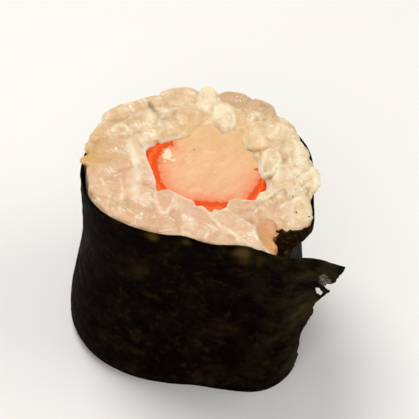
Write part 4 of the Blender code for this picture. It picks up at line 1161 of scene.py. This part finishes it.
def dyed_fish():
    """The stick's dyed skin: orange-red and wet, paler along the middle of the layer."""
    material, tree, shader = new_material("dyed_fish", {
        "Roughness": 0.4, "Specular IOR Level": 0.12, "Subsurface Weight": 0.2,
        "Subsurface Radius": (1.0, 0.45, 0.15), "Subsurface Scale": 0.7 * MM})
    cloud = add(tree, "TexNoise", values={"Scale": 1.1, "Detail": 3}, links={"Vector": in_mm(tree)})
    inward = add(tree, "Attribute", {"attribute_name": "inward"})
    cloudy = add(tree, "MapRange", values=dict(zip(RANGE, (0.3, 0.7, -0.12, 0.12))), links={"Value": cloud})
    shifted = add(tree, "Math", {"operation": "ADD"}, links={0: inward, 1: cloudy})
    red = add(tree, "ValToRGB", links={"Fac": shifted}, stops=(
        (0.05, "#d83404"), (0.28, "#e44408"), (0.46, "#f4702a"), (0.62, "#e64c0c"), (0.88, "#e25214"),
        (1, "#e98250")))
    link(tree, shader, {"Base Color": red})
    return material


def pale_floor():
    """The matt white table top that the piece stands on."""
    return new_material("pale_floor", {"Roughness": 0.6, "Base Color": linear("#f7f6f4")})[0]


# ---------------------------------------------------------------- the studio

def camera():
    """The photograph's view: from the front, 45 degrees above, through a long lens."""
    data = bpy.data.cameras.new("camera")
    data.lens = 185.4
    data.sensor_width = 36
    data.clip_end = 5
    obj = bpy.data.objects.new("camera", data)
    obj.location = Vector((1.3, -187.0, 206.2)) * MM
    obj.rotation_euler = (math.radians(45), 0, 0)
    bpy.context.scene.collection.objects.link(obj)
    bpy.context.scene.camera = obj


def soft_light(name, place, size, power, colour):
    """A round soft lamp that points at the middle of the roll."""
    data = bpy.data.lights.new(name, "AREA")
    data.shape = "DISK"
    data.size = size
    data.energy = power
    data.color = linear(colour)[:3]
    obj = bpy.data.objects.new(name, data)
    obj.location = place
    obj.rotation_euler = (Vector(place) - Vector((0, 0, HEIGHT / 2))).to_track_quat("Z", "Y").to_euler()
    bpy.context.scene.collection.objects.link(obj)


def studio():
    """A bright white surrounding, three soft lamps and the table top."""
    scene = bpy.context.scene
    scene.view_settings.view_transform = "Standard"
    world = bpy.data.worlds.new("world")
    world.use_nodes = True
    background = world.node_tree.nodes["Background"]
    background.inputs["Color"].default_value = linear("#fffdfa")
    background.inputs["Strength"].default_value = 0.36
    scene.world = world
    soft_light("key", (-0.08, 0.12, 0.32), 0.16, 0.59, "#fffdf9")
    soft_light("fill", (0.24, -0.02, 0.28), 0.22, 0.28, "#fffdf9")
    soft_light("front", (-0.04, -0.24, 0.28), 0.20, 0.25, "#fffdf9")
    bm = bmesh.new()
    bmesh.ops.create_grid(bm, x_segments=1, y_segments=1, size=1.5)
    mesh = bpy.data.meshes.new("floor")
    bm.to_mesh(mesh)
    bm.free()
    mesh.materials.append(pale_floor())
    floor = bpy.data.objects.new("floor", mesh)
    scene.collection.objects.link(floor)


def main():
    """Sets the view and builds the pieces, which all ride on the part's one body."""
    camera()
    studio()
    nori = toasted_nori()
    flesh = stick_flesh(pressed_fish())
    grains = rice(cooked_rice())
    sheet = nori_sheet(nori)
    layer = stick_red_layer(dyed_fish())
    crumbs = nori_crumbs(nori, (flesh, grains))
    for piece in (sheet, flesh, layer, grains, crumbs):
        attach(piece, "root")


main()
